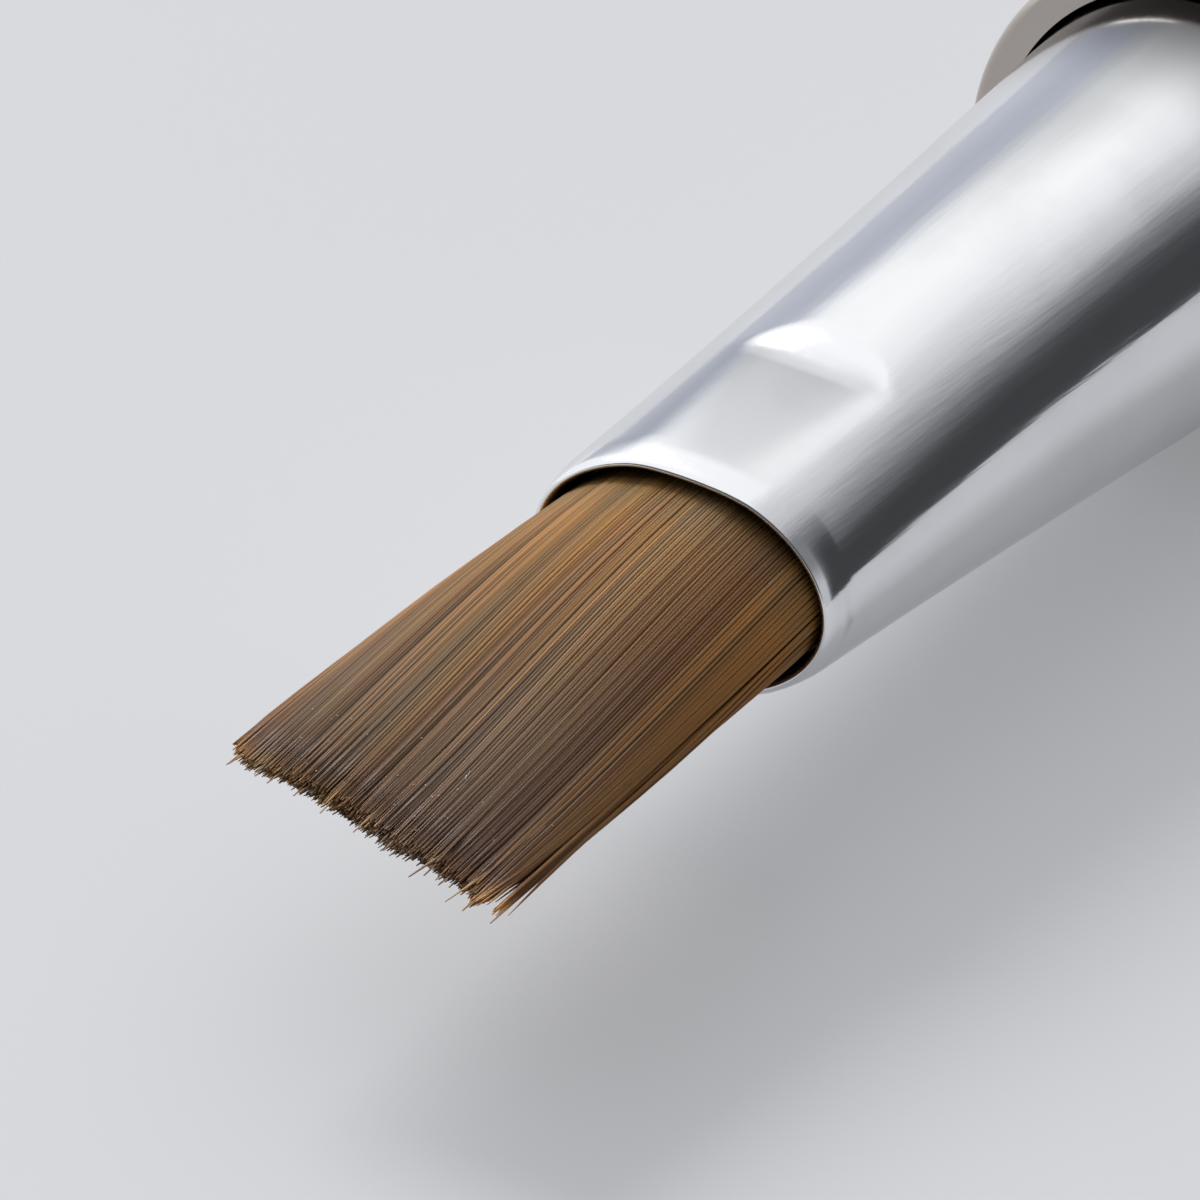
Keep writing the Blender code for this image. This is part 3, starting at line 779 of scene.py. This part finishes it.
def part_right_edge(hairs, draw):
    """Draw the hairs at the right edge into a lock of their own, with the outermost ones loose."""
    right = hairs.across > RIGHT_LOCK_FROM
    outer = hairs.across > OUTER_LOCK_FROM
    hairs.cut[right] += draw.uniform(*RIGHT_LOCK_REACH, right.sum())
    hairs.cut[outer] += draw.uniform(*OUTER_LOCK_REACH, outer.sum())
    hairs.middle[right] = RIGHT_LOCK_MIDDLE
    hairs.middle[outer] = 1.0
    hairs.gather[right] = draw.uniform(*RIGHT_LOCK_GATHER, right.sum())
    hairs.gather[outer] = OUTER_LOCK_GATHER
    hairs.swing[outer] = draw.normal(*OUTER_SWING, outer.sum())
    hairs.bend = np.where(right, RIGHT_LOCK_BEND, LOCK_BEND)
    loose = (hairs.across > LOOSE_FROM) & (hairs.depth < LOOSE_DEPTH)
    hairs.bulge = np.where(loose, draw.uniform(*LOOSE_BULGE, len(loose)), 0.0)


def reach_out_strays(hairs):
    """Let the longest strays, all on the upper face, reach past the cut."""
    for place, reach, turn in STRAYS:
        stray = np.argmin(np.where(hairs.deep > 0, np.abs(hairs.across - place), np.inf))
        hairs.cut[stray] = reach
        hairs.curl[stray, 0] = turn
    hairs.cut = np.minimum(hairs.cut, LONGEST_STRAY_X)


def lead_hairs(hairs, draw):
    """Centre lines and half thicknesses of the hairs, and the way out of the tuft for shading."""
    count = len(hairs.across)
    across, deep, depth, cut = (
        values[:, None] for values in (hairs.across, hairs.deep, hairs.depth, hairs.cut))
    middle, gather, bend = (values[:, None] for values in (hairs.middle, hairs.gather, hairs.bend))
    swing, lift, bulge = (values[:, None] for values in (hairs.swing, hairs.lift, hairs.bulge))
    wander = draw.normal(0, HAIR_WANDER, (count, 2))
    wander[draw.random(count) < CROSSING_SHARE] *= CROSSING_WANDER
    wave = draw.uniform(0, 2 * np.pi, count)[:, None]
    share = np.linspace(0, 1, HAIR_STATIONS) ** STATION_SPREAD
    start = ROOT_FRONT_X - ROOT_OVERLAP
    x = start + (cut - start) * share
    along = np.clip(x / HAIR_CUT_X, 0, None)
    width, height, twist, droop = tuft_frame(x)
    u = across + (middle - across) * (gather * along ** bend)
    v = deep + wander[:, 1:] * along
    u = u + wander[:, :1] * along + WAVE_HEIGHT * np.sin(wave + WAVE_LENGTH * along)
    over = np.maximum(np.sqrt(u ** 2 + v ** 2), 1.0)
    u, v = u / over, v / over
    sunk = depth * (1 - SINK_EASING * along)
    y = (width - sunk) * u
    z = np.maximum(height - sunk, LEAST_HALF_HEIGHT) * v
    y = y + swing * np.maximum(along - SWING_FROM, 0) ** 2 / SWING_SPAN
    y = y + hairs.curl[:, :1] * along ** CURL_BEND
    y = y + bulge * np.sin(np.pi * np.clip(along, 0, 1)) ** 2
    z = z + lift * along ** 2 + hairs.curl[:, 1:] * along ** CURL_BEND
    hairs.centre = np.stack((x, *set_in_tuft(y, z, twist, droop)), axis=-1)
    thick = HAIR_HALF_THICKNESS * draw.uniform(*HAIR_THICKNESS_SPREAD, count)[:, None]
    taper = np.clip((1.0 - share) / TIP_TAPER, 0, 1)
    hairs.thick = TIP_HALF_THICKNESS + (thick - TIP_HALF_THICKNESS) * taper
    out = np.stack((0 * u, *set_in_tuft(u / width, v / height, twist, 0)), axis=-1)
    out /= np.linalg.norm(out, axis=-1, keepdims=True)
    ending = np.clip((share - END_FROM) / END_LENGTH, 0, 1)[..., None]
    hairs.out = out * (1 - ending) + np.array(END_OUT) * ending


def weave_strands(name, centre, thick, spin, tones, out=None):
    """Mesh of thin strands about their centre lines, each with its named tones."""
    count, stations = centre.shape[:2]
    corner = spin[:, None, None] + 2 * np.pi * np.arange(HAIR_SIDES) / HAIR_SIDES
    ring = np.zeros((count, stations, HAIR_SIDES, 3))
    ring[..., 1] = np.cos(corner) * thick[..., None]
    ring[..., 2] = np.sin(corner) * thick[..., None]
    points = (centre[:, :, None, :] + ring + np.array((MOUTH_X, 0, AXIS_Z))).reshape(-1, 3)
    base = (np.arange(count) * stations * HAIR_SIDES)[:, None, None]
    row = (np.arange(stations - 1) * HAIR_SIDES)[None, :, None]
    side = np.arange(HAIR_SIDES)[None, None, :]
    following = (side + 1) % HAIR_SIDES
    near, far = base + row, base + row + HAIR_SIDES
    walls = np.stack((near + side, near + following, far + following, far + side), -1)
    last = (stations - 1) * HAIR_SIDES
    tip_caps = base[:, 0] + last + np.arange(HAIR_SIDES)
    root_caps = base[:, 0] + np.arange(HAIR_SIDES)[::-1]
    faces = np.concatenate((walls.reshape(-1, 4), tip_caps, root_caps))
    data = bpy.data.meshes.new(name)
    data.vertices.add(len(points))
    data.vertices.foreach_set("co", points.ravel())
    data.loops.add(faces.size)
    data.loops.foreach_set("vertex_index", faces.ravel().astype(np.int32))
    data.polygons.add(len(faces))
    data.polygons.foreach_set("loop_start", np.arange(0, faces.size, HAIR_SIDES, dtype=np.int32))
    data.update(calc_edges=True)
    data.shade_smooth()
    for tone_name, values in tones.items():
        layer = data.attributes.new(tone_name, "FLOAT", "POINT")
        values = np.repeat(values, stations * HAIR_SIDES)
        layer.data.foreach_set("value", values.astype(np.float32))
    if out is not None:
        layer = data.attributes.new("tuft_out", "FLOAT_VECTOR", "POINT")
        vectors = np.repeat(out, HAIR_SIDES, axis=1).ravel()
        layer.data.foreach_set("vector", vectors.astype(np.float32))
    piece = bpy.data.objects.new(name, data)
    bpy.context.scene.collection.objects.link(piece)
    return piece


def build_hair():
    """All the hairs of the tuft, laid, gathered, cut and led out, as one soft piece."""
    draw = np.random.default_rng(HAIR_SEED)
    hairs = lay_hairs(draw)
    gather_locks(hairs, draw)
    tone_hairs(hairs, draw)
    cut_hairs(hairs, draw)
    part_right_edge(hairs, draw)
    reach_out_strays(hairs)
    lead_hairs(hairs, draw)
    spin = draw.uniform(0, np.pi, len(hairs.centre))
    tones = {"hair_tone": hairs.tone, "lock_tone": hairs.lock_tone,
             "hair_across": (hairs.across + 1) / 2}
    return weave_strands("hair_strands", hairs.centre, hairs.thick, spin, tones, hairs.out)


def tuft_normal(tree):
    """Hair's own normal softened towards the tuft's; inputs 4 and 5 of a Mix node are vectors."""
    out = add_node(tree, "ShaderNodeAttribute", attribute_name="tuft_out").outputs["Vector"]
    own = add_node(tree, "ShaderNodeNewGeometry").outputs["Normal"]
    soft = add_node(tree, "ShaderNodeMix", {0: TUFT_ROUNDNESS, 4: own, 5: out},
                    data_type="VECTOR").outputs[1]
    return add_node(tree, "ShaderNodeVectorMath", {0: soft}, operation="NORMALIZE").outputs[0]


def hair_material():
    """Sable-like hair: golden at the root, dark cool brown at the tips, each hair its own tone."""
    material, tree, shader = start_material("hair_golden_brown", Roughness=0.46,
                                            Specular_IOR_Level=0.28)
    along = along_axis(tree, 0.0, HAIR_COLOUR_REACH)
    body = colour_steps(tree, along, (
        (0.00, (0.262, 0.172, 0.075)),
        (0.13, (0.360, 0.192, 0.057)),
        (0.33, (0.300, 0.164, 0.056)),
        (0.53, (0.247, 0.147, 0.065)),
        (0.66, (0.222, 0.137, 0.073)),
        (0.79, (0.177, 0.110, 0.060)),
        (0.895, (0.143, 0.075, 0.040)),
        # The last steps make the cut ends paler: partly their own paler ends, partly painted light
        # that lifts the shade at the cut
        (0.920, (0.266, 0.162, 0.092)),
        (0.945, (0.600, 0.398, 0.235)),
    ))
    tone = add_node(tree, "ShaderNodeAttribute", attribute_name="hair_tone").outputs["Fac"]
    lock = add_node(tree, "ShaderNodeAttribute", attribute_name="lock_tone").outputs["Fac"]
    across = add_node(tree, "ShaderNodeAttribute", attribute_name="hair_across").outputs["Fac"]
    shade = colour_steps(tree, tone, (
        (0.00, (0.60, 0.56, 0.54)),
        (0.12, (0.82, 0.74, 0.66)),
        (0.40, (0.95, 0.95, 0.95)),
        (0.80, (1.08, 1.07, 1.06)),
        (0.95, (1.20, 1.20, 1.15)),
        (0.98, (1.45, 1.40, 1.25)),
    ))
    clearness = smooth_range(tree, along, 0.0, 0.50, 0.45, 1.0)
    body = colour_mix(tree, clearness, body, shade, "MULTIPLY")
    lock_shade = colour_steps(tree, lock, (
        (0.10, (0.50, 0.54, 0.66)),
        (0.32, (0.88, 0.87, 0.90)),
        (0.50, (1.06, 0.96, 0.90)),
        (0.66, (1.04, 1.04, 1.04)),
        (0.90, (1.46, 1.30, 0.96)),
    ))
    body = colour_mix(tree, 1.0, body, lock_shade, "MULTIPLY")
    # Painted shade and light across the tuft: darker over its right half, lighter golden at both
    # edges, with the tones of the streaks there
    side_shade = colour_steps(tree, across, (
        (0.00, (1.30, 1.10, 0.76)),
        (0.08, (0.74, 0.73, 0.70)),
        (0.22, (1.10, 1.04, 0.82)),
        (0.36, (0.93, 0.90, 0.67)),
        (0.47, (0.98, 0.92, 0.82)),
        (0.59, (0.97, 1.03, 1.17)),
        (0.71, (0.68, 0.65, 0.61)),
        (0.84, (0.60, 0.52, 0.54)),
        (0.93, (0.93, 0.855, 0.78)),
        (0.98, (1.30, 1.12, 0.78)),
    ))
    body = colour_mix(tree, 1.0, body, side_shade, "MULTIPLY")
    flecks = place_lines(tree, (900.0, 15000.0, 15000.0), 2.0)
    body = colour_mix(tree, calculate(tree, "MULTIPLY", flecks, 0.15), body, FLECK_COLOUR)
    tree.links.new(body, shader.inputs["Base Color"])
    feed_bump(tree, shader, flecks, 0.15, 0.000004, tuft_normal(tree))
    return material


hair = build_hair()
hair.data.materials.append(hair_material())
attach(hair, "root")
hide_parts("hair_tuft")

# Dust on the hair
# Specks of dust and one broken pale hair, too small to belong to any part, that lie loose on
# the tuft's upper face near its cut edge.
DUST_SEED = 7
DUST_COUNT = 34
DUST_X = (0.0085, 0.01055)
DUST_ACROSS = (-0.8, 0.9)
DUST_LENGTH = 0.00003
DUST_SKEW = 0.002
DUST_POINTS = 5
DUST_LIFT = 0.00003
DUST_HALF_THICKNESS = 0.000009
DUST_TIP_HALF_THICKNESS = 0.000004
BROKEN_HAIR_X = (0.00866, 0.00880, 0.00879, 0.00884, 0.00891)
BROKEN_HAIR_ACROSS = (0.262, 0.276, 0.268, 0.272, 0.292)
BROKEN_HAIR_LIFT = 0.00005


def top_of_tuft(x, u, lift):
    """Places on the tuft's upper face, from places along and shares across it."""
    width, height, twist, droop = tuft_frame(x)
    y, z = width * u, height * np.sqrt(1 - u ** 2) + lift
    return np.stack((x, *set_in_tuft(y, z, twist, droop)), axis=-1)


def build_hair_dust():
    """Specks of dust and one broken pale hair that lie on the tuft near its cut edge."""
    draw = np.random.default_rng(DUST_SEED)
    x = draw.uniform(*DUST_X, DUST_COUNT)[:, None] + np.linspace(0, DUST_LENGTH, DUST_POINTS)
    u = draw.uniform(*DUST_ACROSS, DUST_COUNT)[:, None]
    u = u + draw.normal(0, DUST_SKEW, (DUST_COUNT, DUST_POINTS))
    specks = top_of_tuft(x, u, DUST_LIFT)
    broken = top_of_tuft(np.array((BROKEN_HAIR_X,)), np.array((BROKEN_HAIR_ACROSS,)),
                         BROKEN_HAIR_LIFT)
    thick = np.full((DUST_COUNT + 1, DUST_POINTS), DUST_HALF_THICKNESS)
    thick[:, (0, -1)] = DUST_TIP_HALF_THICKNESS
    return weave_strands("hair_dust", np.concatenate((specks, broken)), thick,
                         draw.uniform(0, np.pi, DUST_COUNT + 1), {})


def dust_material():
    """Pale dust and the broken hair's bleached core."""
    material, tree, shader = start_material("pale_dust", Roughness=0.7)
    lines = place_lines(tree, (9000.0, 9000.0, 9000.0), 2.0)
    body = colour_steps(tree, lines, ((0.3, (0.42, 0.38, 0.33)), (0.7, (0.72, 0.68, 0.62))))
    tree.links.new(body, shader.inputs["Base Color"])
    return material


hair_dust = build_hair_dust()
hair_dust.data.materials.append(dust_material())
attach(hair_dust, "root")
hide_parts("hair_tuft")

# Hair root
# The hidden end of the knot: hairs soaked with setting resin into one oval plug that fills the
# ferrule's front, with a waist turned into it for the binding thread.
ROOT_BACK_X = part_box("hair_tuft")[0][0] - MOUTH_X
WAIST_FRONT_X = -0.0063
WAIST_BACK_X = -0.0102
WAIST_RADIUS = 0.002116
ROOT_GAP = 0.00010
ROOT_COLUMNS = 96
ROOT_FRONT_RINGS = (ROOT_FRONT_X, -0.0020, -0.0030, CREASE_X, -0.0050, CREASE_BACK_X, WAIST_FRONT_X)


def build_hair_root():
    """Bonded root plug with the waist that the thread lies in."""
    inner = -WALL - ROOT_GAP
    rings = [ferrule_section(x, inner, ROOT_COLUMNS) for x in ROOT_FRONT_RINGS]
    for x in (WAIST_FRONT_X, WAIST_BACK_X):
        rings.append(round_ring(x, WAIST_RADIUS, ROOT_COLUMNS))
    rings += [ferrule_section(x, inner, ROOT_COLUMNS) for x in (WAIST_BACK_X, ROOT_BACK_X)]
    piece = skin("hair_root", rings, capped=True)
    piece.data.set_sharp_from_angle(angle=math.radians(35))
    return piece


def root_material():
    """Hair ends soaked with setting resin: dark amber with fine lengthwise lines."""
    material, tree, shader = start_material("bonded_hair", Roughness=0.45)
    lines = place_lines(tree, (300.0, 14000.0, 14000.0), 3.0)
    body = colour_steps(tree, lines, ((0.3, (0.055, 0.030, 0.014)), (0.7, (0.20, 0.11, 0.045))))
    tree.links.new(body, shader.inputs["Base Color"])
    feed_bump(tree, shader, lines, 0.4, 0.00003)
    return material


hair_root = build_hair_root()
hair_root.data.materials.append(root_material())
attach(hair_root, "root")
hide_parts("hair_tuft")

# Binding thread
# Waxed linen thread wound four times round the waist of the hair root, which keeps the knot
# of hair together while it is drawn into the ferrule.
def linen_material():
    """Two-ply waxed linen: slanting plies and darker waxed hollows."""
    material, tree, shader = start_material("waxed_linen", Roughness=0.62)
    place = add_node(tree, "ShaderNodeTexCoord").outputs["Object"]
    plies = add_node(tree, "ShaderNodeTexWave",
                     {"Vector": place, "Scale": 900.0, "Distortion": 2.0},
                     wave_type="BANDS", bands_direction="DIAGONAL")
    fibres = place_lines(tree, (9000.0, 4000.0, 4000.0), 4.0)
    twist = calculate(tree, "MULTIPLY_ADD", fibres, 0.4, plies.outputs["Fac"])
    body = colour_steps(tree, twist, ((0.2, (0.36, 0.28, 0.17)), (0.9, (0.72, 0.64, 0.49))))
    tree.links.new(body, shader.inputs["Base Color"])
    feed_bump(tree, shader, twist, 0.6, 0.00003)
    return material


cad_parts["knot_thread"].material_slots[0].material = linen_material()

# Root resin
# Epoxy poured in behind the knot and set hard. It locks the hair to the ferrule's wall and is
# amber, glossy and slightly cloudy with small bubbles.
def resin_material():
    """Clouded amber epoxy with small round bubbles under a glossy skin."""
    material, tree, shader = start_material("amber_resin", Roughness=0.22, Coat_Weight=0.4)
    place = add_node(tree, "ShaderNodeTexCoord").outputs["Object"]
    cloud = add_node(tree, "ShaderNodeTexNoise", {"Vector": place, "Scale": 700.0, "Detail": 5.0})
    bubbles = add_node(tree, "ShaderNodeTexVoronoi", {"Vector": place, "Scale": 2600.0})
    round_bubble = smooth_range(tree, bubbles.outputs["Distance"], 0.10, 0.22, 1.0, 0.0)
    body = colour_steps(tree, cloud.outputs["Fac"], ((0.3, (0.30, 0.15, 0.035)),
                                                    (0.7, (0.55, 0.34, 0.12))))
    body = colour_mix(tree, calculate(tree, "MULTIPLY", round_bubble, 0.5), body,
                      (0.75, 0.62, 0.36))
    tree.links.new(body, shader.inputs["Base Color"])
    feed_bump(tree, shader, round_bubble, 0.3, 0.00002)
    return material


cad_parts["root_resin"].material_slots[0].material = resin_material()

# Tenon cement
# The set ring of cream two-part glue between the birch tenon and the ferrule, matt and finely
# grained, smeared lengthwise where the tenon was pushed in.
def cement_material():
    """Matt cream glue, smeared lengthwise and finely gritty."""
    material, tree, shader = start_material("cream_cement", Roughness=0.68)
    smear = place_lines(tree, (500.0, 2500.0, 2500.0), 5.0)
    place = add_node(tree, "ShaderNodeTexCoord").outputs["Object"]
    grit = add_node(tree, "ShaderNodeTexNoise", {"Vector": place, "Scale": 9000.0, "Detail": 3.0})
    body = colour_steps(tree, smear, ((0.3, (0.62, 0.54, 0.38)), (0.7, (0.80, 0.74, 0.58))))
    body = colour_mix(tree, calculate(tree, "MULTIPLY", grit.outputs["Fac"], 0.3), body,
                      (0.50, 0.44, 0.32))
    tree.links.new(body, shader.inputs["Base Color"])
    feed_bump(tree, shader, grit.outputs["Fac"], 0.4, 0.00002)
    return material


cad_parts["tenon_cement"].material_slots[0].material = cement_material()

# Handle core
# A birch rod turned on a lathe, with the tenon that goes into the ferrule. Pale close grain
# runs lengthwise, with short dark pores and faint turning marks.
def birch_material():
    """Pale turned birch: lengthwise grain, short dark pores, faint turning marks."""
    material, tree, shader = start_material("turned_birch", Roughness=0.58)
    grain = place_lines(tree, (70.0, 1500.0, 1500.0), 6.0)
    pores = place_lines(tree, (420.0, 9000.0, 9000.0), 2.0)
    dark_pores = smooth_range(tree, pores, 0.60, 0.72)
    turning = place_lines(tree, (5200.0, 60.0, 60.0), 2.0)
    body = colour_steps(tree, grain, ((0.28, (0.56, 0.38, 0.20)), (0.50, (0.74, 0.56, 0.35)),
                                      (0.75, (0.82, 0.66, 0.45))))
    body = colour_mix(tree, calculate(tree, "MULTIPLY", dark_pores, 0.6), body, (0.33, 0.20, 0.10))
    tree.links.new(body, shader.inputs["Base Color"])
    relief = calculate(tree, "MULTIPLY", turning, 0.5)
    relief = calculate(tree, "MULTIPLY_ADD", dark_pores, -0.6, relief)
    feed_bump(tree, shader, relief, 0.35, 0.00003)
    return material


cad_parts["handle_core"].material_slots[0].material = birch_material()

# Handle sleeve
# A drawn metal tube, polished and plated in a warm taupe, pressed over the birch core. Its
# flat front is turned in to the ferrule and its two outer edges are lightly rounded.
SLEEVE_REAR_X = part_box("handle_sleeve")[0][0] - MOUTH_X
SLEEVE_RADIUS = 0.004885
SLEEVE_BORE = 0.00435
SHOULDER_BORE = 0.00418
SHOULDER_BORE_LENGTH = 0.0012
BORE_STEP_LENGTH = 0.0003
SLEEVE_EDGE = 0.00024
EDGE_STEPS = 8
SLEEVE_RINGS = 12
TAUPE_PLATE = (0.51, 0.462, 0.425)
TAUPE_SMUDGED = 0.93
TAUPE_SPECK = (0.40, 0.29, 0.22)
SLEEVE_DULLNESS = 0.17


def turned_piece(name, profile, columns=160, capped=False):
    """Piece turned round the brush's axis from (place, radius) pairs, with smooth shading."""
    rings = [round_ring(x, radius, columns) for x, radius in profile]
    piece = skin(name, rings, closed=not capped, capped=capped)
    piece.data.set_sharp_from_angle(angle=math.radians(40))
    return piece


def rounded_edge(face_x, into, radius):
    """Quarter-round edge from a tube's side to its end face; into is 1 or -1, into the tube."""
    sweeps = [math.pi / 2 * step / EDGE_STEPS for step in range(EDGE_STEPS + 1)]
    return [(face_x + into * SLEEVE_EDGE * (1 - math.sin(sweep)),
             radius - SLEEVE_EDGE * (1 - math.cos(sweep))) for sweep in sweeps]


def taupe_plate_material(name, dullness):
    """Plated taupe: fine turned rings, finger smudges, sparse specks."""
    material, tree, shader = start_material(name, Metallic=1.0)
    rings = place_lines(tree, (7000.0, 120.0, 120.0), 3.0)
    smudges, specks = place_marks(tree, 160.0, 700.0)
    dullness = dulled(tree, dullness, (rings, 0.05), (smudges, 0.09), (specks, 0.3))
    tree.links.new(dullness, shader.inputs["Roughness"])
    smudged = tuple(TAUPE_SMUDGED * channel for channel in TAUPE_PLATE)
    tint = colour_mix(tree, smudges, TAUPE_PLATE, smudged)
    tint = colour_mix(tree, calculate(tree, "MULTIPLY", specks, 0.6), tint, TAUPE_SPECK)
    tree.links.new(tint, shader.inputs["Base Color"])
    feed_bump(tree, shader, rings, 0.06, 0.00002)
    return material


def build_sleeve():
    """The sleeve's wall: along its outside to the rear, then back through its stepped bore."""
    profile = rounded_edge(JUNCTION_X, -1, SLEEVE_RADIUS)[::-1]
    profile += [(blend(JUNCTION_X, SLEEVE_REAR_X, step / SLEEVE_RINGS), SLEEVE_RADIUS)
                for step in range(1, SLEEVE_RINGS)]
    profile += rounded_edge(SLEEVE_REAR_X, 1, SLEEVE_RADIUS)
    shoulder_x = JUNCTION_X - SHOULDER_BORE_LENGTH
    profile += [(SLEEVE_REAR_X, SLEEVE_BORE), (shoulder_x - BORE_STEP_LENGTH, SLEEVE_BORE),
                (shoulder_x, SHOULDER_BORE), (JUNCTION_X, SHOULDER_BORE)]
    return turned_piece("sleeve_tube", profile)


sleeve = build_sleeve()
sleeve.data.materials.append(taupe_plate_material("sleeve_taupe_plate", SLEEVE_DULLNESS))
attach(sleeve, "root")
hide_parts("handle_sleeve")

# Tail cap
# A solid turned plug pressed into the back of the sleeve, plated like it. Its edge is domed and
# its face is left flat and a little duller from the lathe.
SEAM_GAP = 0.0001
SEAM_EDGE = 0.0002
TAIL_FRONT_X = SLEEVE_REAR_X - SEAM_GAP
TAIL_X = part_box("tail_cap")[0][0] - MOUTH_X
TAIL_FACE_RADIUS = 0.0031
STEM_FRONT_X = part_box("tail_cap")[1][0] - MOUTH_X
STEM_RADIUS = 0.00425
STEM_LEAD_IN = 0.0004
DOME_STEPS = 16
TAIL_DULLNESS = 0.20


def build_tail():
    """The plug, from its stem's lead-in over the seam and the domed edge to its flat face."""
    profile = [(STEM_FRONT_X, STEM_RADIUS - STEM_LEAD_IN),
               (STEM_FRONT_X - STEM_LEAD_IN, STEM_RADIUS),
               (TAIL_FRONT_X, STEM_RADIUS), (TAIL_FRONT_X, SLEEVE_RADIUS - SEAM_EDGE)]
    dome_x = TAIL_FRONT_X - SEAM_EDGE
    for step in range(DOME_STEPS + 1):
        sweep = math.pi / 2 * step / DOME_STEPS
        profile.append((dome_x - (dome_x - TAIL_X) * math.sin(sweep),
                        blend(TAIL_FACE_RADIUS, SLEEVE_RADIUS, math.cos(sweep))))
    return turned_piece("tail_plug", profile, capped=True)


tail = build_tail()
tail.data.materials.append(taupe_plate_material("tail_taupe_plate", TAIL_DULLNESS))
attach(tail, "root")
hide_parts("tail_cap")

bpy.context.view_layer.update()
